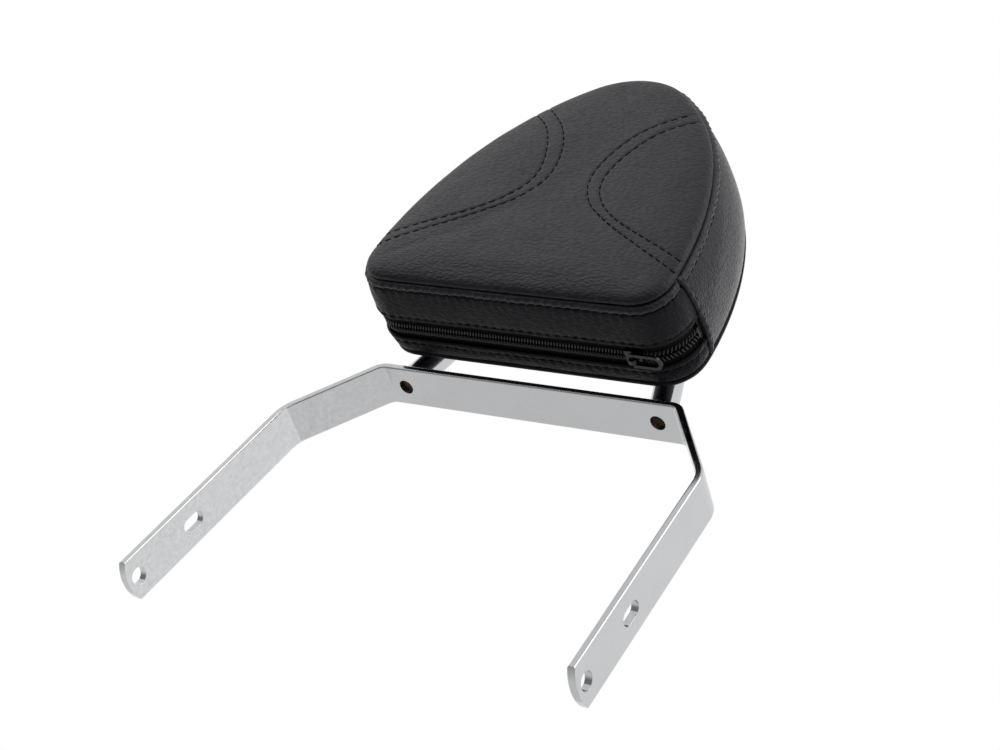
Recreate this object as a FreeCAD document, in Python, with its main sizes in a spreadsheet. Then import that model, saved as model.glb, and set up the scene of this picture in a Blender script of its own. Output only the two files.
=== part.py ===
import FreeCAD, Part
import math
import os

import Sketcher
from FreeCAD import Placement, Rotation, Vector

# Motorcycle sissy bar: a chromed flat-bar bracket that straddles the rear mudguard,
# a bent tube hoop welded on its bridge, and a stitched, zipped backrest pad on the hoop.
# Frame: X to the rider's right, Y to the rear, Z up. The origin lies midway between
# the two lower leg holes, on their common axis.

os.makedirs("parts", exist_ok=True)
doc = FreeCAD.newDocument("sissy_bar")
dims = doc.addObject("Spreadsheet::Sheet", "dims")

drivingDimensions = [
    ("strap_width", 31.0, "flat bar of the bracket, across"),
    ("strap_thickness", 5.0, "flat bar of the bracket, through"),
    ("edge_round", 1.3, "rounding of the bar's long edges"),
    ("leg_span", 336.6, "between the inner faces of the legs at the lower holes"),
    ("leg_splay", 2.3, "angle of each leg off upright, degrees"),
    ("knee_height", 159.3, "inner corner of the first bend above the lower holes"),
    ("bridge_span", 234.2, "between the inner corners of the upper bends"),
    ("bridge_height", 215.5, "underside of the bridge above the lower holes"),
    ("knee_radius", 20.0, "inner radius of the first bend"),
    ("shoulder_radius", 8.0, "inner radius of the second bend"),
    ("foot_length", 5.4, "from the lower hole down to the corners of the leg end"),
    ("foot_bulge", 4.4, "how far the rounded leg end stands below its corners"),
    ("leg_hole", 12.0, "diameter of the lower leg hole"),
    ("slot_height", 54.5, "middle of the leg slot above the lower hole"),
    ("slot_width", 10.0, "leg slot, across"),
    ("slot_length", 18.0, "leg slot, overall length"),
    ("foot_hole", 11.0, "hole through the bridge under each tube foot"),
    ("foot_span", 201.2, "between the two bridge holes and the two tube feet"),
    ("tube_diameter", 19.0, "hoop tube, outside"),
    ("tube_wall", 2.0, "hoop tube wall"),
    ("tube_tilt", 17.2, "how far each side of the hoop leans inwards, degrees"),
    ("hoop_lean", 7.9, "how far hoop and pad lean forwards, degrees"),
    ("arch_radius", 58.0, "centre line radius of the hoop's top bend"),
    ("weld_size", 2.4, "leg of the weld round each tube foot"),
    ("bush_length", 20.0, "threaded bush inside each tube foot"),
    ("bush_bore", 10.2, "minor diameter of the bush thread"),
    ("plate_width", 25.0, "cross plate, along the hoop"),
    ("plate_thickness", 3.0, "cross plate, through"),
    ("plate_corner", 4.0, "corner radius of a cross plate"),
    ("lower_plate_rise", 72.0, "lower cross plate above the bridge, along the hoop"),
    ("upper_plate_rise", 132.0, "upper cross plate above the bridge, along the hoop"),
    ("lower_bolt_span", 80.0, "between the two bolts of the lower plate"),
    ("upper_bolt_span", 56.0, "between the two bolts of the upper plate"),
    ("bolt_diameter", 6.0, "pad bolt shank"),
    ("bolt_head", 10.0, "pad bolt head, across flats"),
    ("bolt_head_height", 4.0, "pad bolt head, height"),
    ("washer_diameter", 12.5, "pad washer, outside"),
    ("washer_thickness", 1.6, "pad washer, through"),
    ("bolt_clearance", 0.4, "bolt to plate and washer holes, on the diameter"),
    ("thread_clearance", 0.1, "bolt to T-nut bore, on the diameter"),
    ("nut_barrel", 7.8, "T-nut barrel diameter"),
    ("nut_flange", 19.0, "T-nut flange diameter"),
    ("nut_flange_thickness", 1.5, "T-nut flange, through"),
    ("pad_width", 237.0, "pad across its front seam"),
    ("pad_height", 216.0, "pad along its front seam, bottom to top"),
    ("pad_depth", 69.5, "pad from its front seam to its back face"),
    ("pad_rise", 14.9, "front seam's lowest line above the bridge, along the lean"),
    ("corner_radius", 22.0, "lower corners of the pad outline"),
    ("flank_angle", 24.0, "where the flank arc meets the shoulder arc, degrees"),
    ("crest_angle", 52.0, "where the shoulder arc meets the crest arc, degrees"),
    ("shoulder_arc", 195.0, "radius of the pad outline's shoulder arc"),
    ("boxing_bulge", 5.8, "how far the sides stand out beyond the front seam"),
    ("bulge_depth", 31.5, "where the sides stand out most, in front of the back face"),
    ("bulge_fade", 38.0, "from there to where the side's curve would meet the outline"),
    ("front_roll", 9.0, "width of the rounded edge of the front panel"),
    ("front_rise", 7.0, "front panel above its seam"),
    ("back_roll", 10.0, "radius of the pad's rounded back edge"),
    ("cover_thickness", 2.2, "vinyl with its felt backing"),
    ("back_seam", 7.0, "seam between boxing and back panel, in front of the back face"),
    ("corner_seam", 27.0, "height of the corner seams above the pad's bottom line"),
    ("welt_radius", 1.9, "rolled welt along the front seam"),
    ("corner_welt_radius", 1.8, "rolled welt down each corner seam"),
    ("board_thickness", 9.0, "backboard inside the pad"),
    ("board_margin", 6.0, "backboard edge to the flat of the back panel"),
    ("zip_depth", 29.5, "middle of the zip chain, in front of the back face"),
    ("zip_lip_front", 9.0, "middle of the chain to the edge of the front lip"),
    ("zip_lip_rear", 8.0, "middle of the chain to the edge of the rear lip"),
    ("tape_width", 26.0, "both zip tapes together"),
    ("tape_thickness", 0.8, "one zip tape"),
    ("tape_level", 1.5, "inner face of the tapes outside the seam outline"),
    ("coil_width", 8.0, "both coil halves together"),
    ("coil_height", 2.0, "coil above its tape"),
    ("coil_gap", 1.6, "slit between the halves that the slider's post runs in"),
    ("stop_length", 3.0, "metal stop at each end of the coil"),
    ("slider_length", 12.0, "zip slider, along the zip"),
    ("slider_width", 12.4, "zip slider, across the zip"),
    ("slider_plate", 1.2, "top plate and bottom plate of the slider"),
    ("slider_clearance", 0.3, "slider to coil and tape"),
    ("post_width", 1.0, "slider post between the coil halves"),
    ("bail_width", 3.0, "slider bail, across the zip"),
    ("bail_wall", 1.4, "slider bail, thickness of its arch"),
    ("tab_length", 21.0, "pull tab from its crossbar to its round end"),
    ("tab_width", 11.5, "pull tab, across"),
    ("tab_thickness", 1.6, "pull tab, through"),
    ("tab_rim", 2.3, "rim of the pull tab round its oval opening"),
    ("tab_clearance", 0.5, "pull tab to slider and bail"),
]
for row, (alias, value, meaning) in enumerate(drivingDimensions, start=1):
    dims.set("A%d" % row, meaning)
    dims.set("B%d" % row, str(value))
    dims.setAlias("B%d" % row, alias)
doc.recompute()


def size(alias):
    return float(dims.get(alias))


def rise(angle):
    return math.tan(math.radians(angle))


subParts = []


def keep(item, label):
    item.Label = label
    subParts.append(item)
    return item


# Shared places, all worked out from the driving dimensions.
bridgeTop = size("bridge_height") + size("strap_thickness")
leanFrame = Placement(Vector(0, 0, bridgeTop), Rotation(Vector(1, 0, 0), size("hoop_lean")))
tubeRadius = size("tube_diameter") / 2
plateFront = -tubeRadius - size("plate_thickness")
seamPlane = plateFront - size("pad_depth")
bulgeDepth = size("pad_depth") - size("bulge_depth")
backSeam = size("pad_depth") - size("back_seam")
zipDepth = size("pad_depth") - size("zip_depth")


def placed(x, y, z, turn=Rotation()):
    """A place given in the leaning frame of hoop and pad."""
    return leanFrame.multiply(Placement(Vector(x, y, z), turn))


def newBody(label, place=Placement()):
    body = doc.addObject("PartDesign::Body", label)
    body.Placement = place
    return keep(body, label)


def plane(body, role):
    return next(item for item in body.Origin.OriginFeatures if item.Role == role)


def newSketch(body, role, name, offset=Placement()):
    sketch = body.newObject("Sketcher::SketchObject", name)
    sketch.AttachmentSupport = [(plane(body, role), "")]
    sketch.MapMode = "FlatFace"
    sketch.AttachmentOffset = offset
    return sketch


def addCircle(sketch, x, y, alias):
    """A hole centre at x, y whose diameter follows a cell of the sheet."""
    number = sketch.addGeometry(Part.Circle(Vector(x, y, 0), Vector(0, 0, 1), size(alias) / 2))
    sketch.addConstraint(Sketcher.Constraint("DistanceX", -1, 1, number, 3, x))
    sketch.addConstraint(Sketcher.Constraint("DistanceY", -1, 1, number, 3, y))
    diameter = sketch.addConstraint(Sketcher.Constraint("Diameter", number, size(alias)))
    sketch.setExpression("Constraints[%d]" % diameter, "dims." + alias)


def padBoth(body, sketch, alias):
    pad = body.newObject("PartDesign::Pad", sketch.Name + "_pad")
    pad.Profile = sketch
    pad.Midplane = True
    pad.setExpression("Length", "dims." + alias)
    doc.recompute()
    return pad


def padBack(body, sketch, alias, reverse):
    pad = body.newObject("PartDesign::Pad", sketch.Name + "_pad")
    pad.Profile = sketch
    pad.Reversed = reverse
    pad.setExpression("Length", "dims." + alias)
    doc.recompute()
    return pad


def cutThrough(body, sketch):
    """A pocket through the whole body both ways, which has to remove material."""
    before = body.Shape.Volume
    pocket = body.newObject("PartDesign::Pocket", sketch.Name + "_cut")
    pocket.Profile = sketch
    pocket.Type = "ThroughAll"
    pocket.Midplane = True
    doc.recompute()
    if body.Shape.Volume >= before:
        raise RuntimeError(sketch.Name + " removed nothing")
    return pocket


def bentChain(corners, radii):
    """Lines and tangent arcs through a row of corners, as sketch geometry."""
    pieces = []
    start = corners[0]
    for before, corner, after, radius in zip(corners, corners[1:], corners[2:], radii):
        inward = (before - corner).normalize()
        outward = (after - corner).normalize()
        half = inward.getAngle(outward) / 2
        reach = radius / math.tan(half)
        middle = corner + (inward + outward).normalize() * (radius / math.sin(half) - radius)
        first = corner + inward * reach
        last = corner + outward * reach
        pieces.append(Part.LineSegment(start, first))
        pieces.append(Part.Arc(first, middle, last))
        start = last
    pieces.append(Part.LineSegment(start, corners[-1]))
    return pieces


def moved(corners, distance):
    """The same row of corners, each run moved sideways by the same distance."""
    result = []
    for index, corner in enumerate(corners):
        normals = []
        if index > 0:
            run = (corner - corners[index - 1]).normalize()
            normals.append(Vector(run.y, -run.x, 0))
        if index < len(corners) - 1:
            run = (corners[index + 1] - corner).normalize()
            normals.append(Vector(run.y, -run.x, 0))
        mitre = sum(normals[1:], normals[0]).normalize()
        result.append(corner + mitre * (distance / mitre.dot(normals[0])))
    return result


def addRing(sketch, corners):
    for first, last in zip(corners, corners[1:] + corners[:1]):
        sketch.addGeometry(Part.LineSegment(first, last))


# Bracket: one flat bar, bent four times, with a rounded end and two holes in each leg.
def makeStrap():
    thickness = size("strap_thickness")
    footDrop = size("foot_length") + size("foot_bulge")
    footX = size("leg_span") / 2 + footDrop * rise(size("leg_splay"))
    kneeX = size("leg_span") / 2 - size("knee_height") * rise(size("leg_splay"))
    right = [
        Vector(footX, -footDrop, 0),
        Vector(kneeX, size("knee_height"), 0),
        Vector(size("bridge_span") / 2, size("bridge_height"), 0),
    ]
    inner = right + [Vector(-corner.x, corner.y, 0) for corner in reversed(right)]
    innerRadii = [size("knee_radius"), size("shoulder_radius")]
    innerRadii = innerRadii + innerRadii[::-1]
    outer = moved(inner, thickness)
    body = newBody("bracket_strap")
    front = newSketch(body, "XZ_Plane", "strap_elevation")
    for piece in bentChain(inner, innerRadii):
        front.addGeometry(piece)
    for piece in bentChain(outer, [radius + thickness for radius in innerRadii]):
        front.addGeometry(piece)
    front.addGeometry(Part.LineSegment(inner[0], outer[0]))
    front.addGeometry(Part.LineSegment(inner[-1], outer[-1]))
    pad = padBoth(body, front, "strap_width")

    half = size("strap_width") / 2
    longEdges = []
    for number, edge in enumerate(pad.Shape.Edges, start=1):
        middle = edge.CenterOfMass
        onSide = abs(abs(middle.y) - half) < 0.001
        if onSide and middle.z > -footDrop + thickness / 2:
            longEdges.append("Edge%d" % number)
    rounding = body.newObject("PartDesign::Fillet", "strap_rounding")
    rounding.Base = (pad, longEdges)
    rounding.setExpression("Radius", "dims.edge_round")
    doc.recompute()

    ends = newSketch(body, "YZ_Plane", "leg_ends")
    outside = half + thickness
    corner = -size("foot_length")
    below = -footDrop - thickness
    ends.addGeometry(Part.Arc(Vector(-half, corner, 0), Vector(0, -footDrop, 0), Vector(half, corner, 0)))
    border = [
        Vector(half, corner, 0),
        Vector(outside, corner, 0),
        Vector(outside, below, 0),
        Vector(-outside, below, 0),
        Vector(-outside, corner, 0),
        Vector(-half, corner, 0),
    ]
    for first, last in zip(border, border[1:]):
        ends.addGeometry(Part.LineSegment(first, last))
    cutThrough(body, ends)

    holes = newSketch(body, "YZ_Plane", "leg_holes")
    addCircle(holes, 0, 0, "leg_hole")
    radius = size("slot_width") / 2
    low = size("slot_height") - size("slot_length") / 2 + radius
    high = size("slot_height") + size("slot_length") / 2 - radius
    holes.addGeometry(Part.LineSegment(Vector(radius, low, 0), Vector(radius, high, 0)))
    holes.addGeometry(Part.LineSegment(Vector(-radius, low, 0), Vector(-radius, high, 0)))
    for level, side in ((high, 1), (low, -1)):
        top = Vector(0, level + side * radius, 0)
        holes.addGeometry(Part.Arc(Vector(-radius, level, 0), top, Vector(radius, level, 0)))
    cutThrough(body, holes)

    bridge = newSketch(body, "XY_Plane", "bridge_holes")
    for side in (-1, 1):
        addCircle(bridge, side * size("foot_span") / 2, 0, "foot_hole")
    cutThrough(body, bridge)


# Hoop: one bent tube whose two feet stand over the bridge holes.
def hoopLine(level):
    """Half the distance between the two tube axes at a height along the lean."""
    return size("foot_span") / 2 - level * rise(size("tube_tilt"))


def hoopSpine(start):
    tilt = math.radians(size("tube_tilt"))
    arch = size("arch_radius")
    centre = (size("foot_span") / 2 * math.cos(tilt) - arch) / math.sin(tilt)
    tangentX = arch * math.cos(tilt)
    tangentY = centre + arch * math.sin(tilt)
    return [
        Part.LineSegment(Vector(hoopLine(start), start, 0), Vector(tangentX, tangentY, 0)),
        Part.Arc(
            Vector(tangentX, tangentY, 0),
            Vector(0, centre + arch, 0),
            Vector(-tangentX, tangentY, 0),
        ),
        Part.LineSegment(Vector(-tangentX, tangentY, 0), Vector(-hoopLine(start), start, 0)),
    ]


def makeHoop():
    body = newBody("hoop_tube", leanFrame)
    spine = newSketch(body, "XZ_Plane", "hoop_spine")
    for piece in hoopSpine(-size("tube_diameter")):
        spine.addGeometry(piece)
    doc.recompute()
    section = body.newObject("Sketcher::SketchObject", "hoop_section")
    section.AttachmentSupport = [(spine, "Edge1")]
    section.MapMode = "NormalToEdge"
    section.MapPathParameter = 0
    section.addGeometry(Part.Circle(Vector(0, 0, 0), Vector(0, 0, 1), tubeRadius))
    section.addGeometry(Part.Circle(Vector(0, 0, 0), Vector(0, 0, 1), tubeRadius - size("tube_wall")))
    doc.recompute()
    pipe = body.newObject("PartDesign::AdditivePipe", "hoop_pipe")
    pipe.Profile = section
    pipe.Spine = (spine, ["Edge1", "Edge2", "Edge3"])
    doc.recompute()
    level = Placement(Vector(0, 0, 0), Rotation(Vector(1, 0, 0), -size("hoop_lean")))
    trim = newSketch(body, "XY_Plane", "hoop_feet", level)
    reachX = size("foot_span")
    reachY = size("tube_diameter") * 2
    addRing(trim, [
        Vector(-reachX, -reachY, 0),
        Vector(reachX, -reachY, 0),
        Vector(reachX, reachY, 0),
        Vector(-reachX, reachY, 0),
    ])
    before = body.Shape.Volume
    feet = body.newObject("PartDesign::Pocket", "hoop_feet_cut")
    feet.Profile = trim
    feet.Type = "ThroughAll"
    doc.recompute()
    if body.Shape.Volume >= before:
        raise RuntimeError("the tube feet were not trimmed")


# Threaded bushes: turned sleeves inside the tube feet, flush with the bridge.
def makeBush(side, label):
    turn = Rotation(Vector(0, 1, 0), -side * size("tube_tilt"))
    place = placed(side * size("foot_span") / 2, 0, 0, turn)
    spare = size("tube_diameter")
    outside = doc.addObject("Part::Cylinder", label + "_outside")
    outside.setExpression("Radius", "dims.tube_diameter / 2 - dims.tube_wall")
    bore = doc.addObject("Part::Cylinder", label + "_bore")
    bore.setExpression("Radius", "dims.bush_bore / 2")
    for item in (outside, bore):
        item.setExpression("Height", "dims.bush_length + dims.tube_diameter")
        item.Placement = place.multiply(Placement(Vector(0, 0, -spare), Rotation()))
    sleeve = doc.addObject("Part::Cut", label + "_sleeve")
    sleeve.Base = outside
    sleeve.Tool = bore
    above = doc.addObject("Part::Box", label + "_above_bridge")
    above.setExpression("Length", "dims.tube_diameter * 4")
    above.setExpression("Width", "dims.tube_diameter * 4")
    above.setExpression("Height", "dims.bush_length * 2")
    centreX = side * size("foot_span") / 2 - size("tube_diameter") * 2
    above.Placement = Placement(Vector(centreX, -size("tube_diameter") * 2, bridgeTop), Rotation())
    bush = doc.addObject("Part::Common", label)
    bush.Base = sleeve
    bush.Tool = above
    doc.recompute()
    keep(bush, label)


# Cross plates: flat bars welded on the front of the hoop, drilled for the pad bolts.
def makeCrossPlate(label, riseName, spanName):
    level = size(riseName)
    body = newBody(label, placed(0, -tubeRadius, level))
    face = newSketch(body, "XZ_Plane", label + "_face")
    length = hoopLine(level)
    half = size("plate_width") / 2
    border = [
        Vector(0, -half, 0),
        Vector(length, -half, 0),
        Vector(length, half, 0),
        Vector(-length, half, 0),
        Vector(-length, -half, 0),
        Vector(0, -half, 0),
    ]
    for piece in bentChain(border, [size("plate_corner")] * 4):
        face.addGeometry(piece)
    for side in (-1, 1):
        radius = (size("bolt_diameter") + size("bolt_clearance")) / 2
        centre = Vector(side * size(spanName) / 2, 0, 0)
        face.addGeometry(Part.Circle(centre, Vector(0, 0, 1), radius))
    padBack(body, face, "plate_thickness", False)


boltPlaces = [
    (side * size(span) / 2, size(level))
    for level, span in (
        ("lower_plate_rise", "lower_bolt_span"),
        ("upper_plate_rise", "upper_bolt_span"),
    )
    for side in (-1, 1)
]
forward = Rotation(Vector(1, 0, 0), 90)


def group(label, items):
    compound = doc.addObject("Part::Compound", label)
    compound.Links = items
    doc.recompute()
    keep(compound, label)


def makeBolts():
    bolts = []
    for number, (x, level) in enumerate(boltPlaces, start=1):
        headBack = -tubeRadius + size("washer_thickness") + size("bolt_head_height")
        head = doc.addObject("Part::Prism", "bolt_head_%d" % number)
        head.Polygon = 6
        head.setExpression("Circumradius", "dims.bolt_head / sqrt(3)")
        head.setExpression("Height", "dims.bolt_head_height")
        head.Placement = placed(x, headBack, level, forward)
        shank = doc.addObject("Part::Cylinder", "bolt_shank_%d" % number)
        shank.setExpression("Radius", "dims.bolt_diameter / 2")
        shank.setExpression(
            "Height",
            "dims.bolt_head_height + dims.washer_thickness + dims.plate_thickness"
            " + dims.cover_thickness + dims.board_thickness",
        )
        shank.Placement = placed(x, headBack, level, forward)
        bolt = doc.addObject("Part::Fuse", "pad_bolt_%d" % number)
        bolt.Base = head
        bolt.Tool = shank
        bolts.append(bolt)
    group("pad_bolts", bolts)


def makeWashers():
    washers = []
    for number, (x, level) in enumerate(boltPlaces, start=1):
        disc = doc.addObject("Part::Cylinder", "washer_disc_%d" % number)
        disc.setExpression("Radius", "dims.washer_diameter / 2")
        hole = doc.addObject("Part::Cylinder", "washer_hole_%d" % number)
        hole.setExpression("Radius", "(dims.bolt_diameter + dims.bolt_clearance) / 2")
        for item in (disc, hole):
            item.setExpression("Height", "dims.washer_thickness")
            item.Placement = placed(x, size("washer_thickness") - tubeRadius, level, forward)
        washer = doc.addObject("Part::Cut", "pad_washer_%d" % number)
        washer.Base = disc
        washer.Tool = hole
        washers.append(washer)
    group("pad_washers", washers)


def makeTeeNuts():
    boardFront = plateFront - size("cover_thickness") - size("board_thickness")
    nuts = []
    for number, (x, level) in enumerate(boltPlaces, start=1):
        barrel = doc.addObject("Part::Cylinder", "nut_barrel_%d" % number)
        barrel.setExpression("Radius", "dims.nut_barrel / 2")
        barrel.setExpression("Height", "dims.board_thickness")
        barrel.Placement = placed(x, boardFront + size("board_thickness"), level, forward)
        flange = doc.addObject("Part::Cylinder", "nut_flange_%d" % number)
        flange.setExpression("Radius", "dims.nut_flange / 2")
        flange.setExpression("Height", "dims.nut_flange_thickness")
        flange.Placement = placed(x, boardFront, level, forward)
        blank = doc.addObject("Part::Fuse", "nut_blank_%d" % number)
        blank.Base = barrel
        blank.Tool = flange
        bore = doc.addObject("Part::Cylinder", "nut_bore_%d" % number)
        bore.setExpression("Radius", "(dims.bolt_diameter + dims.thread_clearance) / 2")
        bore.setExpression("Height", "dims.board_thickness + dims.nut_flange_thickness")
        bore.Placement = barrel.Placement
        nut = doc.addObject("Part::Cut", "tee_nut_%d" % number)
        nut.Base = blank
        nut.Tool = bore
        nuts.append(nut)
    group("tee_nuts", nuts)


# Pad outline in the plane of the front seam: straight bottom, small corner arcs,
# flank, shoulder and crest arcs, each tangent to the next and mirrored left to right.
def outlineArcs():
    flank = math.radians(size("flank_angle"))
    crest = math.radians(size("crest_angle"))
    half = size("pad_width") / 2
    corner = size("corner_radius")
    shoulder = size("shoulder_arc")
    share = (1 - math.sin(crest)) / math.cos(crest)
    across = shoulder * (math.cos(flank) - math.cos(crest))
    along = shoulder * (math.sin(crest) - math.sin(flank))
    left = size("pad_height") - corner - along - share * (half - across)
    flankArc = left / (math.sin(flank) - share * (1 - math.cos(flank)))
    crestArc = (half - flankArc * (1 - math.cos(flank)) - across) / math.cos(crest)
    base = size("pad_rise") + corner
    flankCentre = Vector(half - flankArc, base, 0)
    unitFlank = Vector(math.cos(flank), math.sin(flank), 0)
    unitCrest = Vector(math.cos(crest), math.sin(crest), 0)
    shoulderCentre = flankCentre + unitFlank * (flankArc - shoulder)
    crestCentre = shoulderCentre + unitCrest * (shoulder - crestArc)
    return [
        (Vector(half - corner, base, 0), corner, -90, 0),
        (flankCentre, flankArc, 0, size("flank_angle")),
        (shoulderCentre, shoulder, size("flank_angle"), size("crest_angle")),
        (crestCentre, crestArc, size("crest_angle"), 180 - size("crest_angle")),
    ]


def outline(grow, depth):
    """The closed pad outline, grown by an offset, at a depth behind the front seam."""

    def spot(centre, radius, angle):
        turn = math.radians(angle)
        x = centre.x + (radius + grow) * math.cos(turn)
        level = centre.y + (radius + grow) * math.sin(turn)
        return Vector(x, seamPlane + depth, level)

    def mirrored(point):
        return Vector(-point.x, point.y, point.z)

    arcs = outlineArcs()
    right = []
    for centre, radius, start, end in arcs[:3]:
        angles = (start, (start + end) / 2, end)
        right.append([spot(centre, radius, angle) for angle in angles])
    centre, radius, start, end = arcs[3]
    edges = [Part.Arc(*points).toShape() for points in right]
    crest = [spot(centre, radius, angle) for angle in (start, 90, end)]
    edges.append(Part.Arc(*crest).toShape())
    for points in reversed(right):
        back = [mirrored(point) for point in reversed(points)]
        edges.append(Part.Arc(*back).toShape())
    first = right[0][0]
    edges.append(Part.LineSegment(mirrored(first), first).toShape())
    return Part.Wire(edges)


def sideOffset(depth):
    """How far the boxing stands outside the front seam at a depth behind it."""
    reach = bulgeDepth if depth < bulgeDepth else size("bulge_fade")
    return size("boxing_bulge") * (1 - ((depth - bulgeDepth) / reach) ** 2)


def envelope(inset):
    """The pad's outer form, or the same form set in by a layer of its cover."""
    sections = []
    for angle in (90, 45):
        turn = math.radians(angle)
        across = (size("front_roll") - inset) * math.cos(turn)
        depth = -(size("front_rise") - inset) * math.sin(turn)
        sections.append(outline(across - size("front_roll"), depth))
    backStart = size("pad_depth") - size("back_roll")
    for share in range(4):
        depth = backStart * share / 3
        sections.append(outline(sideOffset(depth) - inset, depth))
    for angle in (45, 90):
        turn = math.radians(angle)
        roll = size("back_roll") - inset
        grow = sideOffset(backStart) - size("back_roll") + roll * math.cos(turn)
        sections.append(outline(grow, backStart + roll * math.sin(turn)))
    return Part.makeLoft(sections, True, True)


wide = size("pad_width")
seamLevel = size("pad_rise") + size("corner_seam")


def block(depths, levels=(-wide, 2 * wide), sides=(-wide, wide)):
    """A box in the leaning frame, from its limits in depth, height and width."""
    corner = Vector(sides[0], seamPlane + depths[0], levels[0])
    spans = (sides[1] - sides[0], depths[1] - depths[0], levels[1] - levels[0])
    return Part.makeBox(*spans, corner)


def prism(grow, depths):
    """The outline, grown by an offset, drawn out between two depths."""
    face = Part.Face(outline(grow, depths[0]))
    return face.extrude(Vector(0, depths[1] - depths[0], 0))


def ribbon(levels, depths):
    """A strip that follows the pad's bottom edge from corner seam to corner seam."""
    ring = prism(levels[1], depths).cut(prism(levels[0], depths))
    return ring.common(block(depths, (-wide, seamLevel - size("corner_welt_radius"))))


def pin(x, level, diameter, depths):
    """A cylinder through the pad from front to back."""
    foot = Vector(x, seamPlane + depths[0], level)
    return Part.makeCylinder(diameter / 2, depths[1] - depths[0], foot, Vector(0, 1, 0))


def keepShape(label, shape):
    item = doc.addObject("Part::Feature", label)
    item.Shape = shape
    item.Placement = leanFrame
    return keep(item, label)


# Cover: thin sewn panels over the foam, parted where their seams run.
def makeCover():
    cover = size("cover_thickness")
    weltBack = 2 * size("welt_radius")
    cornerWelt = size("corner_welt_radius")
    skin = envelope(0).cut(envelope(cover))
    above = (seamLevel + cornerWelt, 2 * wide)
    below = (-wide, seamLevel - cornerWelt)
    keepShape("front_panel", skin.common(block((-wide, 0))))
    keepShape("side_panel", skin.common(block((weltBack, backSeam), above)))
    frontStrip = block((weltBack, zipDepth - size("zip_lip_front")), below)
    rearStrip = block((zipDepth + size("zip_lip_rear"), backSeam), below)
    keepShape("lower_front_strip", skin.common(frontStrip))
    keepShape("lower_rear_strip", skin.common(rearStrip))
    back = skin.common(block((backSeam, wide)))
    for x, level in boltPlaces:
        hole = size("bolt_diameter") + size("bolt_clearance")
        back = back.cut(pin(x, level, hole, (backSeam, wide)))
    keepShape("back_panel", back)


def roundedSection(centre, normal, radius, sides):
    """A closed section of a few flats about a point, square to a direction."""
    across = normal.cross(Vector(0, 1, 0))
    if across.Length < 0.1:
        across = normal.cross(Vector(0, 0, 1))
    across.normalize()
    along = normal.cross(across).normalize()
    corners = []
    for number in range(sides):
        turn = 2 * math.pi * (number + 0.5) / sides
        corners.append(centre + across * (radius * math.cos(turn)) + along * (radius * math.sin(turn)))
    return Part.makePolygon(corners + corners[:1])


def makeWelts():
    radius = size("welt_radius")
    grow = radius - size("cover_thickness") + sideOffset(2 * radius)
    path = outline(grow, radius)
    start = path.Vertexes[0].Point
    tangent = path.Edges[0].tangentAt(path.Edges[0].FirstParameter)
    section = roundedSection(start, tangent, radius, 8)
    keepShape("front_welt", path.makePipeShell([section], True, False))
    radius = size("corner_welt_radius")
    depths = (2 * size("welt_radius"), bulgeDepth, backSeam)
    for side, label in ((-1, "left_corner_welt"), (1, "right_corner_welt")):
        points = []
        for depth in depths:
            grow = sideOffset(depth) + radius - size("cover_thickness")
            points.append(Vector(side * (size("pad_width") / 2 + grow), seamPlane + depth, seamLevel))
        bow = Part.Wire(Part.Arc(*points).toShape())
        tangent = bow.Edges[0].tangentAt(bow.Edges[0].FirstParameter)
        section = roundedSection(points[0], tangent, radius, 6)
        keepShape(label, bow.makePipeShell([section], True, False))


# Inside the cover: a drilled backboard, and the foam with room for the zip.
def makeFilling():
    cover = size("cover_thickness")
    boardBack = size("pad_depth") - cover
    boardFront = boardBack - size("board_thickness")
    backStart = size("pad_depth") - size("back_roll")
    flat = sideOffset(backStart) - size("back_roll")
    board = prism(flat - size("board_margin"), (boardFront, boardBack))
    foam = envelope(cover).cut(board)
    flangeFront = boardFront - size("nut_flange_thickness")
    for x, level in boltPlaces:
        board = board.cut(pin(x, level, size("nut_barrel"), (boardFront, boardBack)))
        foam = foam.cut(pin(x, level, size("nut_flange"), (flangeFront, boardFront)))
    keepShape("backboard", board)
    middle = zipDepth
    halfTape = size("tape_width") / 2
    halfSlider = size("slider_width") / 2 + size("slider_clearance") * 2
    level = size("tape_level")
    channel = level - size("slider_plate") - size("slider_clearance") * 2
    outside = size("boxing_bulge") + cover
    foam = foam.cut(ribbon((level, outside), (middle - halfTape, middle + halfTape)))
    foam = foam.cut(ribbon((channel, outside), (middle - halfSlider, middle + halfSlider)))
    keepShape("foam_core", foam)


# Zip: two tapes behind the lips, a coil half on each, and a stop at each end.
def makeZip():
    middle = zipDepth
    inner = size("tape_level")
    outer = inner + size("tape_thickness")
    top = outer + size("coil_height")
    slit = size("coil_gap") / 2
    coilEnd = seamLevel - size("corner_welt_radius") - size("stop_length")
    parts = (("front", -1), ("rear", 1))
    for label, side in parts:
        depths = sorted((middle + side * slit, middle + side * size("tape_width") / 2))
        keepShape(label + "_zip_tape", ribbon((inner, outer), depths))
        depths = sorted((middle + side * slit, middle + side * size("coil_width") / 2))
        coil = ribbon((outer, top), depths)
        keepShape(label + "_zip_coil", coil.common(block(depths, (-wide, coilEnd))))
    depths = (middle - size("coil_width") / 2, middle + size("coil_width") / 2)
    ends = ribbon((outer, top), depths).common(block(depths, (coilEnd, wide)))
    keepShape("left_zip_stop", ends.common(block(depths, sides=(-wide, 0))))
    keepShape("right_zip_stop", ends.common(block(depths, sides=(0, wide))))


# Slider and pull tab: the slider straddles the coil at the right end of the straight
# run. Heights below are distances outside the seam outline, so they run downwards.
clearance = size("slider_clearance")
tapeTop = size("tape_level") + size("tape_thickness")
plateIn = tapeTop + size("coil_height") + clearance
plateOut = plateIn + size("slider_plate")
hingeOut = plateOut + size("tab_clearance") + size("tab_thickness") / 2
sliderX = size("pad_width") / 2 - size("corner_radius") - size("slider_length") / 2


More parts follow.
